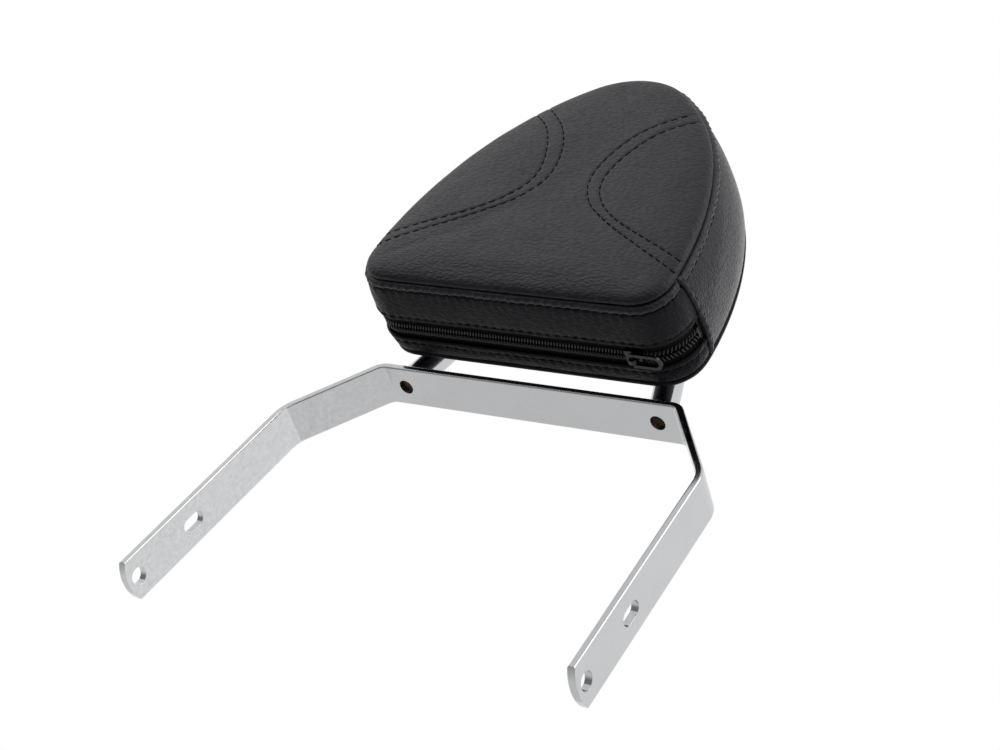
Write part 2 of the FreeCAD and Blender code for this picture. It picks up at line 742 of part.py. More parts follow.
def makeSlider():
    depth = seamPlane + zipDepth
    body = newBody("zip_slider", placed(sliderX, depth, size("pad_rise")))
    half = size("slider_width") / 2
    inside = size("coil_width") / 2 + clearance
    flange = tapeTop + clearance
    section = newSketch(body, "YZ_Plane", "slider_section")
    addRing(section, [
        Vector(-half, -plateOut, 0),
        Vector(half, -plateOut, 0),
        Vector(half, -flange, 0),
        Vector(inside, -flange, 0),
        Vector(inside, -plateIn, 0),
        Vector(-inside, -plateIn, 0),
        Vector(-inside, -flange, 0),
        Vector(-half, -flange, 0),
    ])
    padBoth(body, section, "slider_length")
    bottom = size("tape_level") - clearance
    post = newSketch(body, "XZ_Plane", "slider_post")
    front = size("slider_length") / 2
    addRing(post, [
        Vector(0, -plateIn, 0),
        Vector(front, -plateIn, 0),
        Vector(front, -bottom, 0),
        Vector(0, -bottom, 0),
    ])
    padBoth(body, post, "post_width")
    under = newSketch(body, "XZ_Plane", "slider_under_plate")
    addRing(under, [
        Vector(-front, -bottom, 0),
        Vector(front, -bottom, 0),
        Vector(front, size("slider_plate") - bottom, 0),
        Vector(-front, size("slider_plate") - bottom, 0),
    ])
    padBoth(body, under, "slider_width")
    arch = newSketch(body, "XZ_Plane", "slider_bail")
    reach = size("tab_thickness") / 2 + size("tab_clearance")
    for radius in (reach, reach + size("bail_wall")):
        left = Vector(-radius, -hingeOut, 0)
        right = Vector(radius, -hingeOut, 0)
        arch.addGeometry(Part.LineSegment(Vector(-radius, -plateOut, 0), left))
        arch.addGeometry(Part.Arc(left, Vector(0, -hingeOut - radius, 0), right))
        arch.addGeometry(Part.LineSegment(right, Vector(radius, -plateOut, 0)))
    for side in (-1, 1):
        first = Vector(side * reach, -plateOut, 0)
        last = Vector(side * (reach + size("bail_wall")), -plateOut, 0)
        arch.addGeometry(Part.LineSegment(first, last))
    padBoth(body, arch, "bail_width")


def makeTab():
    depth = seamPlane + zipDepth
    body = newBody("pull_tab", placed(sliderX, depth, size("pad_rise") - hingeOut))
    face = newSketch(body, "XY_Plane", "tab_face")
    half = size("tab_thickness") / 2
    for start, wallRadius, end in (
        (-half, size("tab_width") / 2, size("tab_length") - size("tab_width") / 2),
        (half, size("tab_width") / 2 - size("tab_rim"), size("tab_length") - size("tab_width") / 2),
    ):
        low = Vector(end, -wallRadius, 0)
        high = Vector(end, wallRadius, 0)
        face.addGeometry(Part.LineSegment(Vector(start, -wallRadius, 0), low))
        face.addGeometry(Part.Arc(low, Vector(end + wallRadius, 0, 0), high))
        face.addGeometry(Part.LineSegment(high, Vector(start, wallRadius, 0)))
        face.addGeometry(Part.LineSegment(Vector(start, wallRadius, 0), Vector(start, -wallRadius, 0)))
    padBoth(body, face, "tab_thickness")


# Weld beads: a rounded fillet of weld where each tube foot meets the bridge.
def makeWelds():
    beads = []
    spare = size("tube_diameter")
    for side in (-1, 1):
        turn = Rotation(Vector(0, 1, 0), -side * size("tube_tilt"))
        place = placed(side * size("foot_span") / 2, 0, 0, turn)
        tube = Part.makeCylinder(tubeRadius, 2 * spare, Vector(0, 0, -spare))
        tube.Placement = place
        ring = tube.slice(Vector(0, 0, 1), bridgeTop)[0]
        edge = ring.Edges[0]
        start = edge.valueAt(edge.FirstParameter)
        tangent = edge.tangentAt(edge.FirstParameter)
        section = roundedSection(start, tangent, size("weld_size"), 8)
        bead = ring.makePipeShell([section], True, False)
        corner = Vector(start.x - 2 * spare, -2 * spare, bridgeTop)
        above = Part.makeBox(4 * spare, 4 * spare, spare, corner)
        beads.append(bead.cut(tube).common(above))
    item = doc.addObject("Part::Feature", "weld_beads")
    item.Shape = Part.makeCompound(beads)
    keep(item, "weld_beads")


makeStrap()
makeHoop()
makeWelds()
makeBush(-1, "left_foot_bush")
makeBush(1, "right_foot_bush")
makeCrossPlate("lower_cross_plate", "lower_plate_rise", "lower_bolt_span")
makeCrossPlate("upper_cross_plate", "upper_plate_rise", "upper_bolt_span")
makeBolts()
makeWashers()
makeTeeNuts()
makeCover()
makeWelts()
makeFilling()
makeZip()
makeSlider()
makeTab()
doc.recompute()

for item in doc.Objects:
    if "Invalid" in item.State or "Error" in item.State:
        raise RuntimeError(item.Label + " failed to build")
for item in subParts:
    if item.Shape.isNull() or not item.Shape.isValid():
        raise RuntimeError(item.Label + " has no valid shape")
for item in subParts:
    item.Shape.exportStep(os.path.join("parts", item.Label + ".step"))
    solids = len(item.Shape.Solids)
    print("%-20s %2d solid(s) %10.1f mm3" % (item.Label, solids, item.Shape.Volume))
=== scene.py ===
import math

import bmesh
import bpy
import numpy as np
from mathutils import Matrix, Vector
from mathutils.bvhtree import BVHTree


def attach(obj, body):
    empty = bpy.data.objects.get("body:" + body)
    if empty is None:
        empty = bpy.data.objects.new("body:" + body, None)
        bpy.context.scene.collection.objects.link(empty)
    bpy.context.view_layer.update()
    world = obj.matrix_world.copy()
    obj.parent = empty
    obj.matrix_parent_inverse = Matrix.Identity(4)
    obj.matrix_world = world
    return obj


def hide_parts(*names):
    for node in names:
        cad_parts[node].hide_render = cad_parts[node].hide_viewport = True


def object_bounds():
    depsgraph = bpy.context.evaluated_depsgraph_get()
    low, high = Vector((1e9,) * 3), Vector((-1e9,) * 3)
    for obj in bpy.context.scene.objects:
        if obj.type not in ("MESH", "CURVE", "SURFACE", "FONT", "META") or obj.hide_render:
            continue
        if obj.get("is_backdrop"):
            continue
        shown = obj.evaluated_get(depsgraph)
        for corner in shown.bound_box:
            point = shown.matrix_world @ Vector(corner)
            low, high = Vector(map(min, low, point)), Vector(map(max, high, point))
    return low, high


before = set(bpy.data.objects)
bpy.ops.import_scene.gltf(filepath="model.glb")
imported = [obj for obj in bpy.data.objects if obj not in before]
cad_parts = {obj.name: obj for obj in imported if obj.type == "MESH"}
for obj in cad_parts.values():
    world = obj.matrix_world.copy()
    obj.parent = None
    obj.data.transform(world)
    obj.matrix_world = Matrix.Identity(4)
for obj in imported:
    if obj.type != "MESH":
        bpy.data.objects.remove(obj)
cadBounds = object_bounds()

mm = 0.001


def report(stage):
    print("stage: " + stage)


# The leaning frame of hoop and pad: x across, y behind the hoop's plane, z up along the lean.
lean = {"angle": 7.9, "bridgeTop": 220.5 * mm, "seamPlane": -82.0 * mm}
leanTurn = Matrix.Rotation(math.radians(lean["angle"]), 4, "X")
leanArray = np.array(Matrix.Translation((0, 0, lean["bridgeTop"])) @ leanTurn)


def toWorld(points):
    flat = np.asarray(points, float).reshape(-1, 3)
    moved = flat @ leanArray[:3, :3].T + leanArray[:3, 3]
    return moved.reshape(np.shape(points))


def toLean(points):
    return (np.asarray(points) - leanArray[:3, 3]) @ leanArray[:3, :3]


# Pad outline in the plane of its front seam: the same tangent arcs as the solid.
outline = {
    "half": 118.5 * mm, "height": 216 * mm, "rise": 14.9 * mm, "corner": 22 * mm,
    "flankAngle": 24, "crestAngle": 52, "shoulder": 195 * mm, "cornerSeam": 27 * mm,
}


def outlineArcs():
    o = outline
    flank, crest = math.radians(o["flankAngle"]), math.radians(o["crestAngle"])
    share = (1 - math.sin(crest)) / math.cos(crest)
    across = o["shoulder"] * (math.cos(flank) - math.cos(crest))
    along = o["shoulder"] * (math.sin(crest) - math.sin(flank))
    left = o["height"] - o["corner"] - along - share * (o["half"] - across)
    flankArc = left / (math.sin(flank) - share * (1 - math.cos(flank)))
    crestArc = (o["half"] - flankArc * (1 - math.cos(flank)) - across) / math.cos(crest)
    base = o["rise"] + o["corner"]
    c3 = np.array([o["half"] - flankArc, base])
    c2 = c3 + (flankArc - o["shoulder"]) * np.array([math.cos(flank), math.sin(flank)])
    c1 = c2 + (o["shoulder"] - crestArc) * np.array([math.cos(crest), math.sin(crest)])
    c4 = np.array([o["half"] - o["corner"], base])
    return [
        (c4, o["corner"], -math.pi / 2, 0.0),
        (c3, flankArc, 0.0, flank),
        (c2, o["shoulder"], flank, crest),
        (c1, crestArc, crest, math.pi - crest),
    ]


def outlineRuns():
    # every run of the closed outline, from the bottom's middle to the right and round
    arcs = outlineArcs()
    straight = outline["half"] - outline["corner"]
    runs = [("line", np.array([0.0, outline["rise"]]), 1, straight)]
    for centre, radius, start, end in arcs:
        runs.append(("arc", centre, radius, start, end))
    for centre, radius, start, end in reversed(arcs[:3]):
        mirror = np.array([-centre[0], centre[1]])
        runs.append(("arc", mirror, radius, math.pi - end, math.pi - start))
    runs.append(("line", np.array([-straight, outline["rise"]]), 1, straight))
    return runs


def runLength(run):
    return run[3] if run[0] == "line" else run[2] * (run[4] - run[3])


outlineParts = outlineRuns()
outlineLength = sum(runLength(run) for run in outlineParts)
seamAt = (outline["half"] - outline["corner"] + outline["corner"] * math.pi / 2
          + outline["cornerSeam"] - outline["corner"])


def outlineAt(lengths):
    # points and outward normals of the outline at distances along it
    lengths = np.mod(np.asarray(lengths, float), outlineLength)
    points = np.zeros((len(lengths), 2))
    normals = np.zeros((len(lengths), 2))
    start = 0.0
    for run in outlineParts:
        span = runLength(run)
        inside = (lengths >= start - 1e-12) & (lengths <= start + span + 1e-12)
        along = lengths[inside] - start
        if run[0] == "line":
            points[inside] = run[1] + np.outer(along, [1, 0])
            normals[inside] = [0, -1]
        else:
            angle = run[3] + along / run[2]
            normals[inside] = np.stack([np.cos(angle), np.sin(angle)], 1)
            points[inside] = run[1] + normals[inside] * run[2]
        start += span
    return points, normals


boxingShape = {"peak": 38 * mm, "bulge": 5.8 * mm, "frontRoll": 7 * mm}


def boxing(depth):
    # how far the pad's sides stand outside the seam outline at a depth behind it
    peak = boxingShape["peak"]
    return boxingShape["bulge"] * (1 - ((np.asarray(depth) - peak) / peak) ** 2)


def ringAt(spots, depth):
    # points of the outline's plane, set behind the seam plane by the depth
    return np.stack([spots[:, 0], np.full(len(spots), lean["seamPlane"] + depth), spots[:, 1]], 1)


# what the broad lamps light: the cover, its seams and zip, and the floor
softPieces = bpy.data.collections.new("soft_pieces")


def newMesh(name, points, faces, slot, finish):
    # a piece of the cover, from points in the leaning frame
    mesh = bpy.data.meshes.new(name)
    mesh.from_pydata([tuple(v) for v in toWorld(points).reshape(-1, 3)], [], faces)
    mesh.validate()
    mesh.update()
    mesh.polygons.foreach_set("use_smooth", [True] * len(mesh.polygons))
    mesh.materials.append(finishes[finish])
    piece = bpy.data.objects.new(name, mesh)
    bpy.context.scene.collection.objects.link(piece)
    softPieces.objects.link(piece)
    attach(piece, "root")
    return piece


def gridFaces(rows, columns, closeRows=False, closeColumns=False, offset=0):
    faces = []
    for row in range(rows if closeRows else rows - 1):
        for column in range(columns if closeColumns else columns - 1):
            nextRow, nextColumn = (row + 1) % rows, (column + 1) % columns
            faces.append((
                offset + row * columns + column,
                offset + nextRow * columns + column,
                offset + nextRow * columns + nextColumn,
                offset + row * columns + nextColumn,
            ))
    return faces


def tubeFaces(rings, count, ends=(True, True), offset=0):
    # faces between closed rings of points, and one over the first and the last ring where wanted
    faces = gridFaces(rings, count, closeColumns=True, offset=offset)
    last = offset + (rings - 1) * count
    if ends[0]:
        faces.append(tuple(reversed(range(offset, offset + count))))
    if ends[1]:
        faces.append(tuple(range(last, last + count)))
    return faces


def sweep(name, lengths, section, closed=False, **rest):
    # a closed section of (depth, offset) pairs, carried along the pad outline; it may change along the way
    points, normals = outlineAt(lengths)
    rings = []
    for length, point, normal in zip(lengths, points, normals):
        pairs = np.asarray(section(length))
        spot = point + pairs[:, 1:2] * normal
        rings.append(np.stack([spot[:, 0], lean["seamPlane"] + pairs[:, 0], spot[:, 1]], 1))
    rings = np.array(rings)
    if closed:
        faces = gridFaces(*rings.shape[:2], closeRows=True, closeColumns=True)
    else:
        faces = tubeFaces(*rings.shape[:2])
    return newMesh(name, rings, faces, **rest)


# Light, background and camera

stage = {
    "background": 1.0,
    "metalSees": 0.86,
    "frontShade": 0.72,
    "shadeFrom": (-0.75, -0.15),
    "plainLight": 0.45,
    "floorTone": (0.86, 0.86, 0.86, 1),
    # the floor's painted reflection in metal, from the front to the back, and its dim painted glow for light
    # bouncing up
    "floorReflectionGlow": (0.20, 0.70),
    "floorFades": (-0.55, 0.35),
    "floorGlow": 0.30,
    "floorLevel": -1000 * mm,
    "floorSize": 12.0,
    "lampsAim": (0, -0.03, 0.28),
}
view = {
    # fitted to the holes, bends and ends of the bar in the photo
    "place": (738.708 * mm, -727.695 * mm, -597.827 * mm),
    "forward": (-0.5730, 0.5370, 0.6191),
    "right": (0.8122, 0.2712, 0.5164),
    "lens": 72.16,
    "sensor": 36.0,
}


def link(tree, start, end):
    tree.links.new(start, end)


def addNode(tree, kind, **values):
    # values go to the node's properties, or to its inputs by their name
    node = tree.nodes.new(kind)
    for name, value in values.items():
        if hasattr(node, name):
            setattr(node, name, value)
        else:
            node.inputs[name].default_value = value
    return node


def newMaterial(name, **sockets):
    # the shader's sockets are named with _ for each space
    material = bpy.data.materials.new(name)
    material.use_nodes = True
    tree = material.node_tree
    shader = tree.nodes["Principled BSDF"]
    for socket, value in sockets.items():
        shader.inputs[socket.replace("_", " ")].default_value = value
    return material, tree, shader


def mapTo(tree, value, low, high, fromLow=0.0, fromHigh=1.0, **values):
    spread = addNode(tree, "ShaderNodeMapRange", **values)
    ends = {"From Min": fromLow, "From Max": fromHigh, "To Min": low, "To Max": high}
    for socket, end in ends.items():
        spread.inputs[socket].default_value = end
    link(tree, value, spread.inputs["Value"])
    return spread.outputs["Result"]


def combine(tree, operation, first, second):
    node = addNode(tree, "ShaderNodeMath", operation=operation)
    link(tree, first, node.inputs[0])
    link(tree, second, node.inputs[1])
    return node.outputs[0]


def partOf(tree, vector, axis):
    split = addNode(tree, "ShaderNodeSeparateXYZ")
    link(tree, vector, split.inputs[0])
    return split.outputs[axis]


def mixShaders(tree, share, first, second):
    blend = addNode(tree, "ShaderNodeMixShader")
    link(tree, share, blend.inputs["Fac"])
    link(tree, first, blend.inputs[1])
    link(tree, second, blend.inputs[2])
    return blend.outputs[0]


def placeOf(tree):
    return addNode(tree, "ShaderNodeTexCoord").outputs["Object"]


def makeWorld():
    world = bpy.data.worlds.new("studio")
    bpy.context.scene.world = world
    world.use_nodes = True
    tree = world.node_tree
    tree.nodes.clear()
    rays = addNode(tree, "ShaderNodeLightPath").outputs
    # what polished metal sees: pale all round, darker towards the front where the room is
    aim = addNode(tree, "ShaderNodeTexCoord").outputs["Generated"]
    shade = mapTo(tree, partOf(tree, aim, "Y"), stage["frontShade"], stage["metalSees"], *stage["shadeFrom"],
                  interpolation_type="SMOOTHSTEP")
    gloss = addNode(tree, "ShaderNodeBackground", Color=(1, 1, 1, 1))
    link(tree, shade, gloss.inputs["Strength"])
    plain = addNode(tree, "ShaderNodeBackground", Color=(1, 1, 1, 1), Strength=stage["plainLight"])
    white = addNode(tree, "ShaderNodeBackground", Color=(1, 1, 1, 1), Strength=stage["background"])
    seen = combine(tree, "MAXIMUM", rays["Is Camera Ray"], rays["Is Transmission Ray"])
    unseen = mixShaders(tree, rays["Is Glossy Ray"], plain.outputs[0], gloss.outputs[0])
    out = addNode(tree, "ShaderNodeOutputWorld")
    link(tree, mixShaders(tree, seen, unseen, white.outputs[0]), out.inputs["Surface"])


def makeFloor():
    half = stage["floorSize"] / 2
    corners = [(-half, -half), (half, -half), (half, half), (-half, half)]
    mesh = bpy.data.meshes.new("studio_floor")
    mesh.from_pydata([(x, y, stage["floorLevel"]) for x, y in corners], [], [(0, 1, 2, 3)])
    floor = bpy.data.objects.new("studio_floor", mesh)
    bpy.context.scene.collection.objects.link(floor)
    material, tree, shader = newMaterial("paleFloor", Base_Color=stage["floorTone"], Roughness=0.9)
    # polished metal sees the floor as a painted reflection that glows, darker towards the front; light
    # bouncing up meets a dim painted glow in place of its lit colour, so little light comes back up from it
    rays = addNode(tree, "ShaderNodeLightPath").outputs
    seen = addNode(tree, "ShaderNodeEmission")
    fade = mapTo(tree, partOf(tree, placeOf(tree), "Y"), *stage["floorReflectionGlow"], *stage["floorFades"])
    link(tree, fade, seen.inputs["Strength"])
    glow = addNode(tree, "ShaderNodeEmission", Strength=stage["floorGlow"])
    dull = mixShaders(tree, rays["Is Diffuse Ray"], shader.outputs[0], glow.outputs[0])
    whole = mixShaders(tree, rays["Is Glossy Ray"], dull, seen.outputs[0])
    link(tree, whole, tree.nodes["Material Output"].inputs["Surface"])
    mesh.materials.append(material)
    softPieces.objects.link(floor)
    floor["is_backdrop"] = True


def makeLamp(name, place, size, power, softOnly):
    # the two broad lamps light the cover and the floor, and stay out of the polished metal
    lamp = bpy.data.lights.new(name, "AREA")
    lamp.shape = "RECTANGLE"
    lamp.size, lamp.size_y = size
    lamp.energy = power
    lampObject = bpy.data.objects.new(name, lamp)
    lampObject.location = place
    aim = Vector(stage["lampsAim"]) - Vector(place)
    lampObject.rotation_euler = aim.to_track_quat("-Z", "Y").to_euler()
    bpy.context.scene.collection.objects.link(lampObject)
    if softOnly:
        lampObject.light_linking.receiver_collection = softPieces


def makeCamera():
    camera = bpy.data.cameras.new("camera")
    camera.lens = view["lens"]
    camera.sensor_fit = "HORIZONTAL"
    camera.sensor_width = view["sensor"]
    camera.clip_start = 0.05
    camera.clip_end = 50
    cameraObject = bpy.data.objects.new("camera", camera)
    back = -Vector(view["forward"]).normalized()
    right = Vector(view["right"])
    right = (right - back * right.dot(back)).normalized()
    up = back.cross(right)
    turn = Matrix((right, up, back)).transposed().to_4x4()
    cameraObject.matrix_world = Matrix.Translation(view["place"]) @ turn
    bpy.context.scene.collection.objects.link(cameraObject)
    bpy.context.scene.camera = cameraObject


lamps = {
    "back": {"place": (0.0, 1.5, 2.1), "size": (2.4, 1.6), "power": 9, "softOnly": True},
    "side": {"place": (1.5, -1.5, 1.7), "size": (1.4, 1.4), "power": 12, "softOnly": False},
    "front": {"place": (-1.7, -1.9, 1.4), "size": (2.2, 1.8), "power": 7.4, "softOnly": True},
}

makeWorld()
makeFloor()
makeCamera()
for lampName, values in lamps.items():
    makeLamp(lampName, **values)
bpy.context.scene.view_settings.view_transform = "Standard"
report("studio ready")


# Materials

def textureAt(tree, kind, place, **values):
    texture = addNode(tree, kind, **values)
    link(tree, place, texture.inputs["Vector"])
    return texture.outputs


def noiseAt(tree, place, scale, detail=3.0):
    return textureAt(tree, "ShaderNodeTexNoise", place, Scale=scale, Detail=detail)["Fac"]


def bentPlace(tree, place, scale, amount):
    # the same place, pushed about a little by noise
    noise = textureAt(tree, "ShaderNodeTexNoise", place, Scale=scale)
    push = addNode(tree, "ShaderNodeVectorMath", operation="MULTIPLY_ADD")
    push.inputs[1].default_value = (amount, amount, amount)
    link(tree, noise["Color"], push.inputs[0])
    link(tree, place, push.inputs[2])
    return push.outputs[0]


def mixColours(tree, share, first, second):
    # each colour is plain, or the output of another node
    mix = addNode(tree, "ShaderNodeMix", data_type="RGBA")
    link(tree, share, mix.inputs["Factor"])
    for socket, colour in (("A", first), ("B", second)):
        if isinstance(colour, tuple):
            mix.inputs[socket].default_value = (*colour, 1)
        else:
            link(tree, colour, mix.inputs[socket])
    return [out for out in mix.outputs if out.type == "RGBA"][0]


def bumpFrom(tree, height, distance, strength, before=None):
    bump = addNode(tree, "ShaderNodeBump", Strength=strength, Distance=distance)
    link(tree, height, bump.inputs["Height"])
    if before:
        link(tree, before, bump.inputs["Normal"])
    return bump.outputs["Normal"]


def roundedEdges(tree, radius):
    # light runs round the sharp edges as if they were broken by a small radius
    return addNode(tree, "ShaderNodeBevel", samples=4, Radius=radius).outputs["Normal"]


def toneAndRelief(tree, shader, pattern, look, strength):
    # the pattern runs from dark to pale and stands up by its height
    link(tree, mixColours(tree, pattern, look["dark"], look["pale"]), shader.inputs["Base Color"])
    link(tree, bumpFrom(tree, pattern, look["height"], strength), shader.inputs["Normal"])


vinylLook = {
    "dark": (0.0058, 0.0058, 0.0078),
    "pale": (0.0118, 0.0116, 0.0150),
    "sheen": (0.93, 0.93, 1.0, 1.0),
    "roughness": (0.36, 0.50),
    "grain": 1.8 * mm,
    "grainHeight": 0.25 * mm,
    "stretch": (0.50, 1.0, 1.1),
    "bend": (260, 1.6 * mm),
    "waveHeight": 0.8 * mm,
    "fineHeight": 0.01 * mm,
    "noise": {"fine": 2600, "patches": 150, "broad": 38},
}


def makeVinyl(name, wear=1.0, gloss=0.45):
    look = vinylLook
    material, tree, shader = newMaterial(name, Specular_IOR_Level=gloss, Specular_Tint=look["sheen"])
    place = placeOf(tree)
    long = addNode(tree, "ShaderNodeVectorMath", operation="MULTIPLY")
    long.inputs[1].default_value = look["stretch"]
    link(tree, place, long.inputs[0])
    bent = bentPlace(tree, long.outputs[0], *look["bend"])
    cells = textureAt(tree, "ShaderNodeTexVoronoi", bent, feature="SMOOTH_F1", Scale=1 / look["grain"],
                      Smoothness=0.55)
    pebble = mapTo(tree, cells["Distance"], 1.0, 0.0, 0.05, 0.75)
    fine = noiseAt(tree, place, look["noise"]["fine"], 2.0)
    broad = noiseAt(tree, place, look["noise"]["broad"])
    patches = noiseAt(tree, place, look["noise"]["patches"], 2.0)
    uneven = mapTo(tree, patches, 0.35, 1.0, 0.3, 0.7)
    tone = combine(tree, "MULTIPLY", mapTo(tree, pebble, 0.55, 1.0), uneven)
    link(tree, mixColours(tree, tone, look["dark"], look["pale"]), shader.inputs["Base Color"])
    low, high = look["roughness"]
    slow = mapTo(tree, broad, low - 0.01, low + 0.03, 0.3, 0.7)
    rough = combine(tree, "ADD", mapTo(tree, pebble, high - low, 0.0), slow)
    link(tree, rough, shader.inputs["Roughness"])
    soft = bumpFrom(tree, broad, look["waveHeight"] * wear, 0.2)
    grain = bumpFrom(tree, pebble, look["grainHeight"], 1.0, soft)
    link(tree, bumpFrom(tree, fine, look["fineHeight"], 0.2, grain), shader.inputs["Normal"])
    return material


threadLook = {
    "dark": (0.0015, 0.0015, 0.002),
    "pale": (0.005, 0.005, 0.006),
    "strands": 900,
    "height": 0.06 * mm,
}


def makeThread(name):
    look = threadLook
    material, tree, shader = newMaterial(name, Roughness=0.75, Specular_IOR_Level=0.12)
    strands = textureAt(tree, "ShaderNodeTexWave", placeOf(tree), wave_type="BANDS",
                        bands_direction="DIAGONAL", Scale=look["strands"], Distortion=1.5)
    toneAndRelief(tree, shader, strands["Fac"], look, 0.6)
    return material


tapeLook = {
    "dark": (0.002, 0.0023, 0.0028),
    "pale": (0.010, 0.011, 0.013),
    "ribs": 520,
    "height": 0.12 * mm,
}


def makeTape(name):
    # a woven tape: two sets of ribs that cross
    look = tapeLook
    material, tree, shader = newMaterial(name, Roughness=0.8, Specular_IOR_Level=0.2)
    place = placeOf(tree)
    ribs = [textureAt(tree, "ShaderNodeTexWave", place, bands_direction=way, Scale=look["ribs"],
                      Distortion=0.4)["Fac"] for way in ("X", "Y")]
    toneAndRelief(tree, shader, combine(tree, "MULTIPLY", *ribs), look, 0.8)
    return material


nylonLook = {
    "colour": (0.010, 0.0105, 0.012, 1),
    "roughness": (0.2, 0.42),
    "smears": 900,
    "marks": 1500,
    "height": 0.05 * mm,
}


def makeNylon(name):
    look = nylonLook
    material, tree, shader = newMaterial(name, Base_Color=look["colour"], Specular_IOR_Level=0.6)
    place = placeOf(tree)
    smears = mapTo(tree, noiseAt(tree, place, look["smears"]), *look["roughness"])
    link(tree, smears, shader.inputs["Roughness"])
    marks = bumpFrom(tree, noiseAt(tree, place, look["marks"]), look["height"], 0.3)
    link(tree, marks, shader.inputs["Normal"])
    return material


chromeLook = {
    "dark": (0.58, 0.592, 0.605),
    "pale": (0.69, 0.70, 0.71),
    "cloudy": (0.78, 0.785, 0.79),
    "cloudShare": (0.85, 0.12),
    "cloudsBetween": (-150 * mm, -70 * mm),
    "cloudBend": (140, 8 * mm),
    "roughness": (0.05, 0.16),
    "edge": 0.7 * mm,
    "waveHeight": 0.25 * mm,
    "pitHeight": 0.03 * mm,
    "noise": {"waves": 95, "pits": 620, "smear": 24, "cloud": 330},
}


def makeChrome(name, ripple=1.0):
    # polished plating, with paler cloudy patches towards the left leg
    look = chromeLook
    scales = look["noise"]
    material, tree, shader = newMaterial(name, Metallic=1.0)
    place = placeOf(tree)
    waves = noiseAt(tree, place, scales["waves"], 4.0)
    pits = noiseAt(tree, place, scales["pits"], 2.0)
    smear = noiseAt(tree, place, scales["smear"], 4.0)
    cloud = noiseAt(tree, bentPlace(tree, place, *look["cloudBend"]), scales["cloud"], 6.0)
    leftSide = mapTo(tree, partOf(tree, place, "X"), *look["cloudShare"], *look["cloudsBetween"])
    patches = combine(tree, "MULTIPLY", mapTo(tree, cloud, 0.0, 1.0, 0.30, 0.72), leftSide)
    clear = mixColours(tree, smear, look["dark"], look["pale"])
    link(tree, mixColours(tree, patches, clear, look["cloudy"]), shader.inputs["Base Color"])
    link(tree, mapTo(tree, smear, *look["roughness"], 0.35, 0.7), shader.inputs["Roughness"])
    slow = bumpFrom(tree, waves, look["waveHeight"] * ripple, 0.16, roundedEdges(tree, look["edge"]))
    link(tree, bumpFrom(tree, pits, look["pitHeight"], 0.14, slow), shader.inputs["Normal"])
    return material


steelLook = {"stains": 180, "stainTone": 0.62, "marks": 1600, "threadShare": 0.5}


def makeSteel(name, colour, roughness, height, pitch=None):
    # metal with fine turning marks and small stains, and with screw threads where a pitch is given
    look = steelLook
    material, tree, shader = newMaterial(name, Metallic=1.0)
    place = placeOf(tree)
    stains = noiseAt(tree, place, look["stains"], 4.0)
    darker = tuple(look["stainTone"] * part for part in colour)
    link(tree, mixColours(tree, stains, darker, colour), shader.inputs["Base Color"])
    link(tree, mapTo(tree, stains, roughness - 0.08, roughness + 0.16, 0.3, 0.7), shader.inputs["Roughness"])
    normal = bumpFrom(tree, noiseAt(tree, place, look["marks"], 2.0), height, 0.5)
    if pitch:
        turns = textureAt(tree, "ShaderNodeTexWave", place, bands_direction="Z", Scale=math.pi / 10 / pitch)
        normal = bumpFrom(tree, turns["Fac"], look["threadShare"] * pitch, 0.9, normal)
    link(tree, normal, shader.inputs["Normal"])
    return material


plywoodLook = {
    "dark": (0.30, 0.18, 0.09),
    "pale": (0.52, 0.36, 0.20),
    "layers": 110,
    "height": 0.2 * mm,
}


def makePlywood(name):
    look = plywoodLook
    material, tree, shader = newMaterial(name, Roughness=0.7)
    layers = textureAt(tree, "ShaderNodeTexWave", placeOf(tree), bands_direction="Y", Scale=look["layers"],
                       Distortion=3.0)
    toneAndRelief(tree, shader, layers["Fac"], look, 0.4)
    return material


foamLook = {
    "dark": (0.020, 0.020, 0.022),
    "pale": (0.055, 0.055, 0.058),
    "cells": 1100,
    "height": 0.4 * mm,
}


def makeFoam(name):
    look = foamLook
    material, tree, shader = newMaterial(name, Roughness=0.95)
    cells = textureAt(tree, "ShaderNodeTexVoronoi", placeOf(tree), Scale=look["cells"])
    toneAndRelief(tree, shader, cells["Distance"], look, 0.7)
    return material


finishes = {
    "vinyl": makeVinyl("grainedVinyl"),
    # the strips beside the zip face down: their copies of the vinyl shine less, painted shade where little
    # light reaches them; the back panel shares the dullest copy
    "shadedStripVinyl": makeVinyl("shadedVinyl", 1.0, 0.22),
    "shadedBackVinyl": makeVinyl("shadedBackVinyl", 1.0, 0.10),
    "welt": makeVinyl("foldedVinyl", 0.6, 0.5),
    "thread": makeThread("bondedThread"),
    "tape": makeTape("wovenTape"),
    "nylon": makeNylon("nylonCoil"),
    "chrome": makeChrome("chromeBar"),
    "tubeChrome": makeChrome("chromeTube", 0.5),
    "bush": makeSteel("threadedSteel", (0.34, 0.25, 0.18), 0.36, 0.08 * mm, 1.25 * mm),
    "zinc": makeSteel("zincSteel", (0.62, 0.62, 0.60), 0.34, 0.05 * mm),
    "zipMetal": makeSteel("blackZipMetal", (0.055, 0.055, 0.060), 0.24, 0.03 * mm),
    "plywood": makePlywood("plywoodBoard"),
    "foam": makeFoam("cushionFoam"),
}
report("materials ready")


# Rigid pieces keep their solids and get their finish

rigidFinish = {
    "bracket_strap": "chrome", "hoop_tube": "tubeChrome", "weld_beads": "tubeChrome",
    "lower_cross_plate": "chrome", "upper_cross_plate": "chrome",
    "left_foot_bush": "bush", "right_foot_bush": "bush",
    "pad_bolts": "zinc", "pad_washers": "zinc", "tee_nuts": "zinc",
    "left_zip_stop": "zipMetal", "right_zip_stop": "zipMetal",
    "zip_slider": "zipMetal", "pull_tab": "zipMetal",
    "backboard": "plywood", "foam_core": "foam",
}


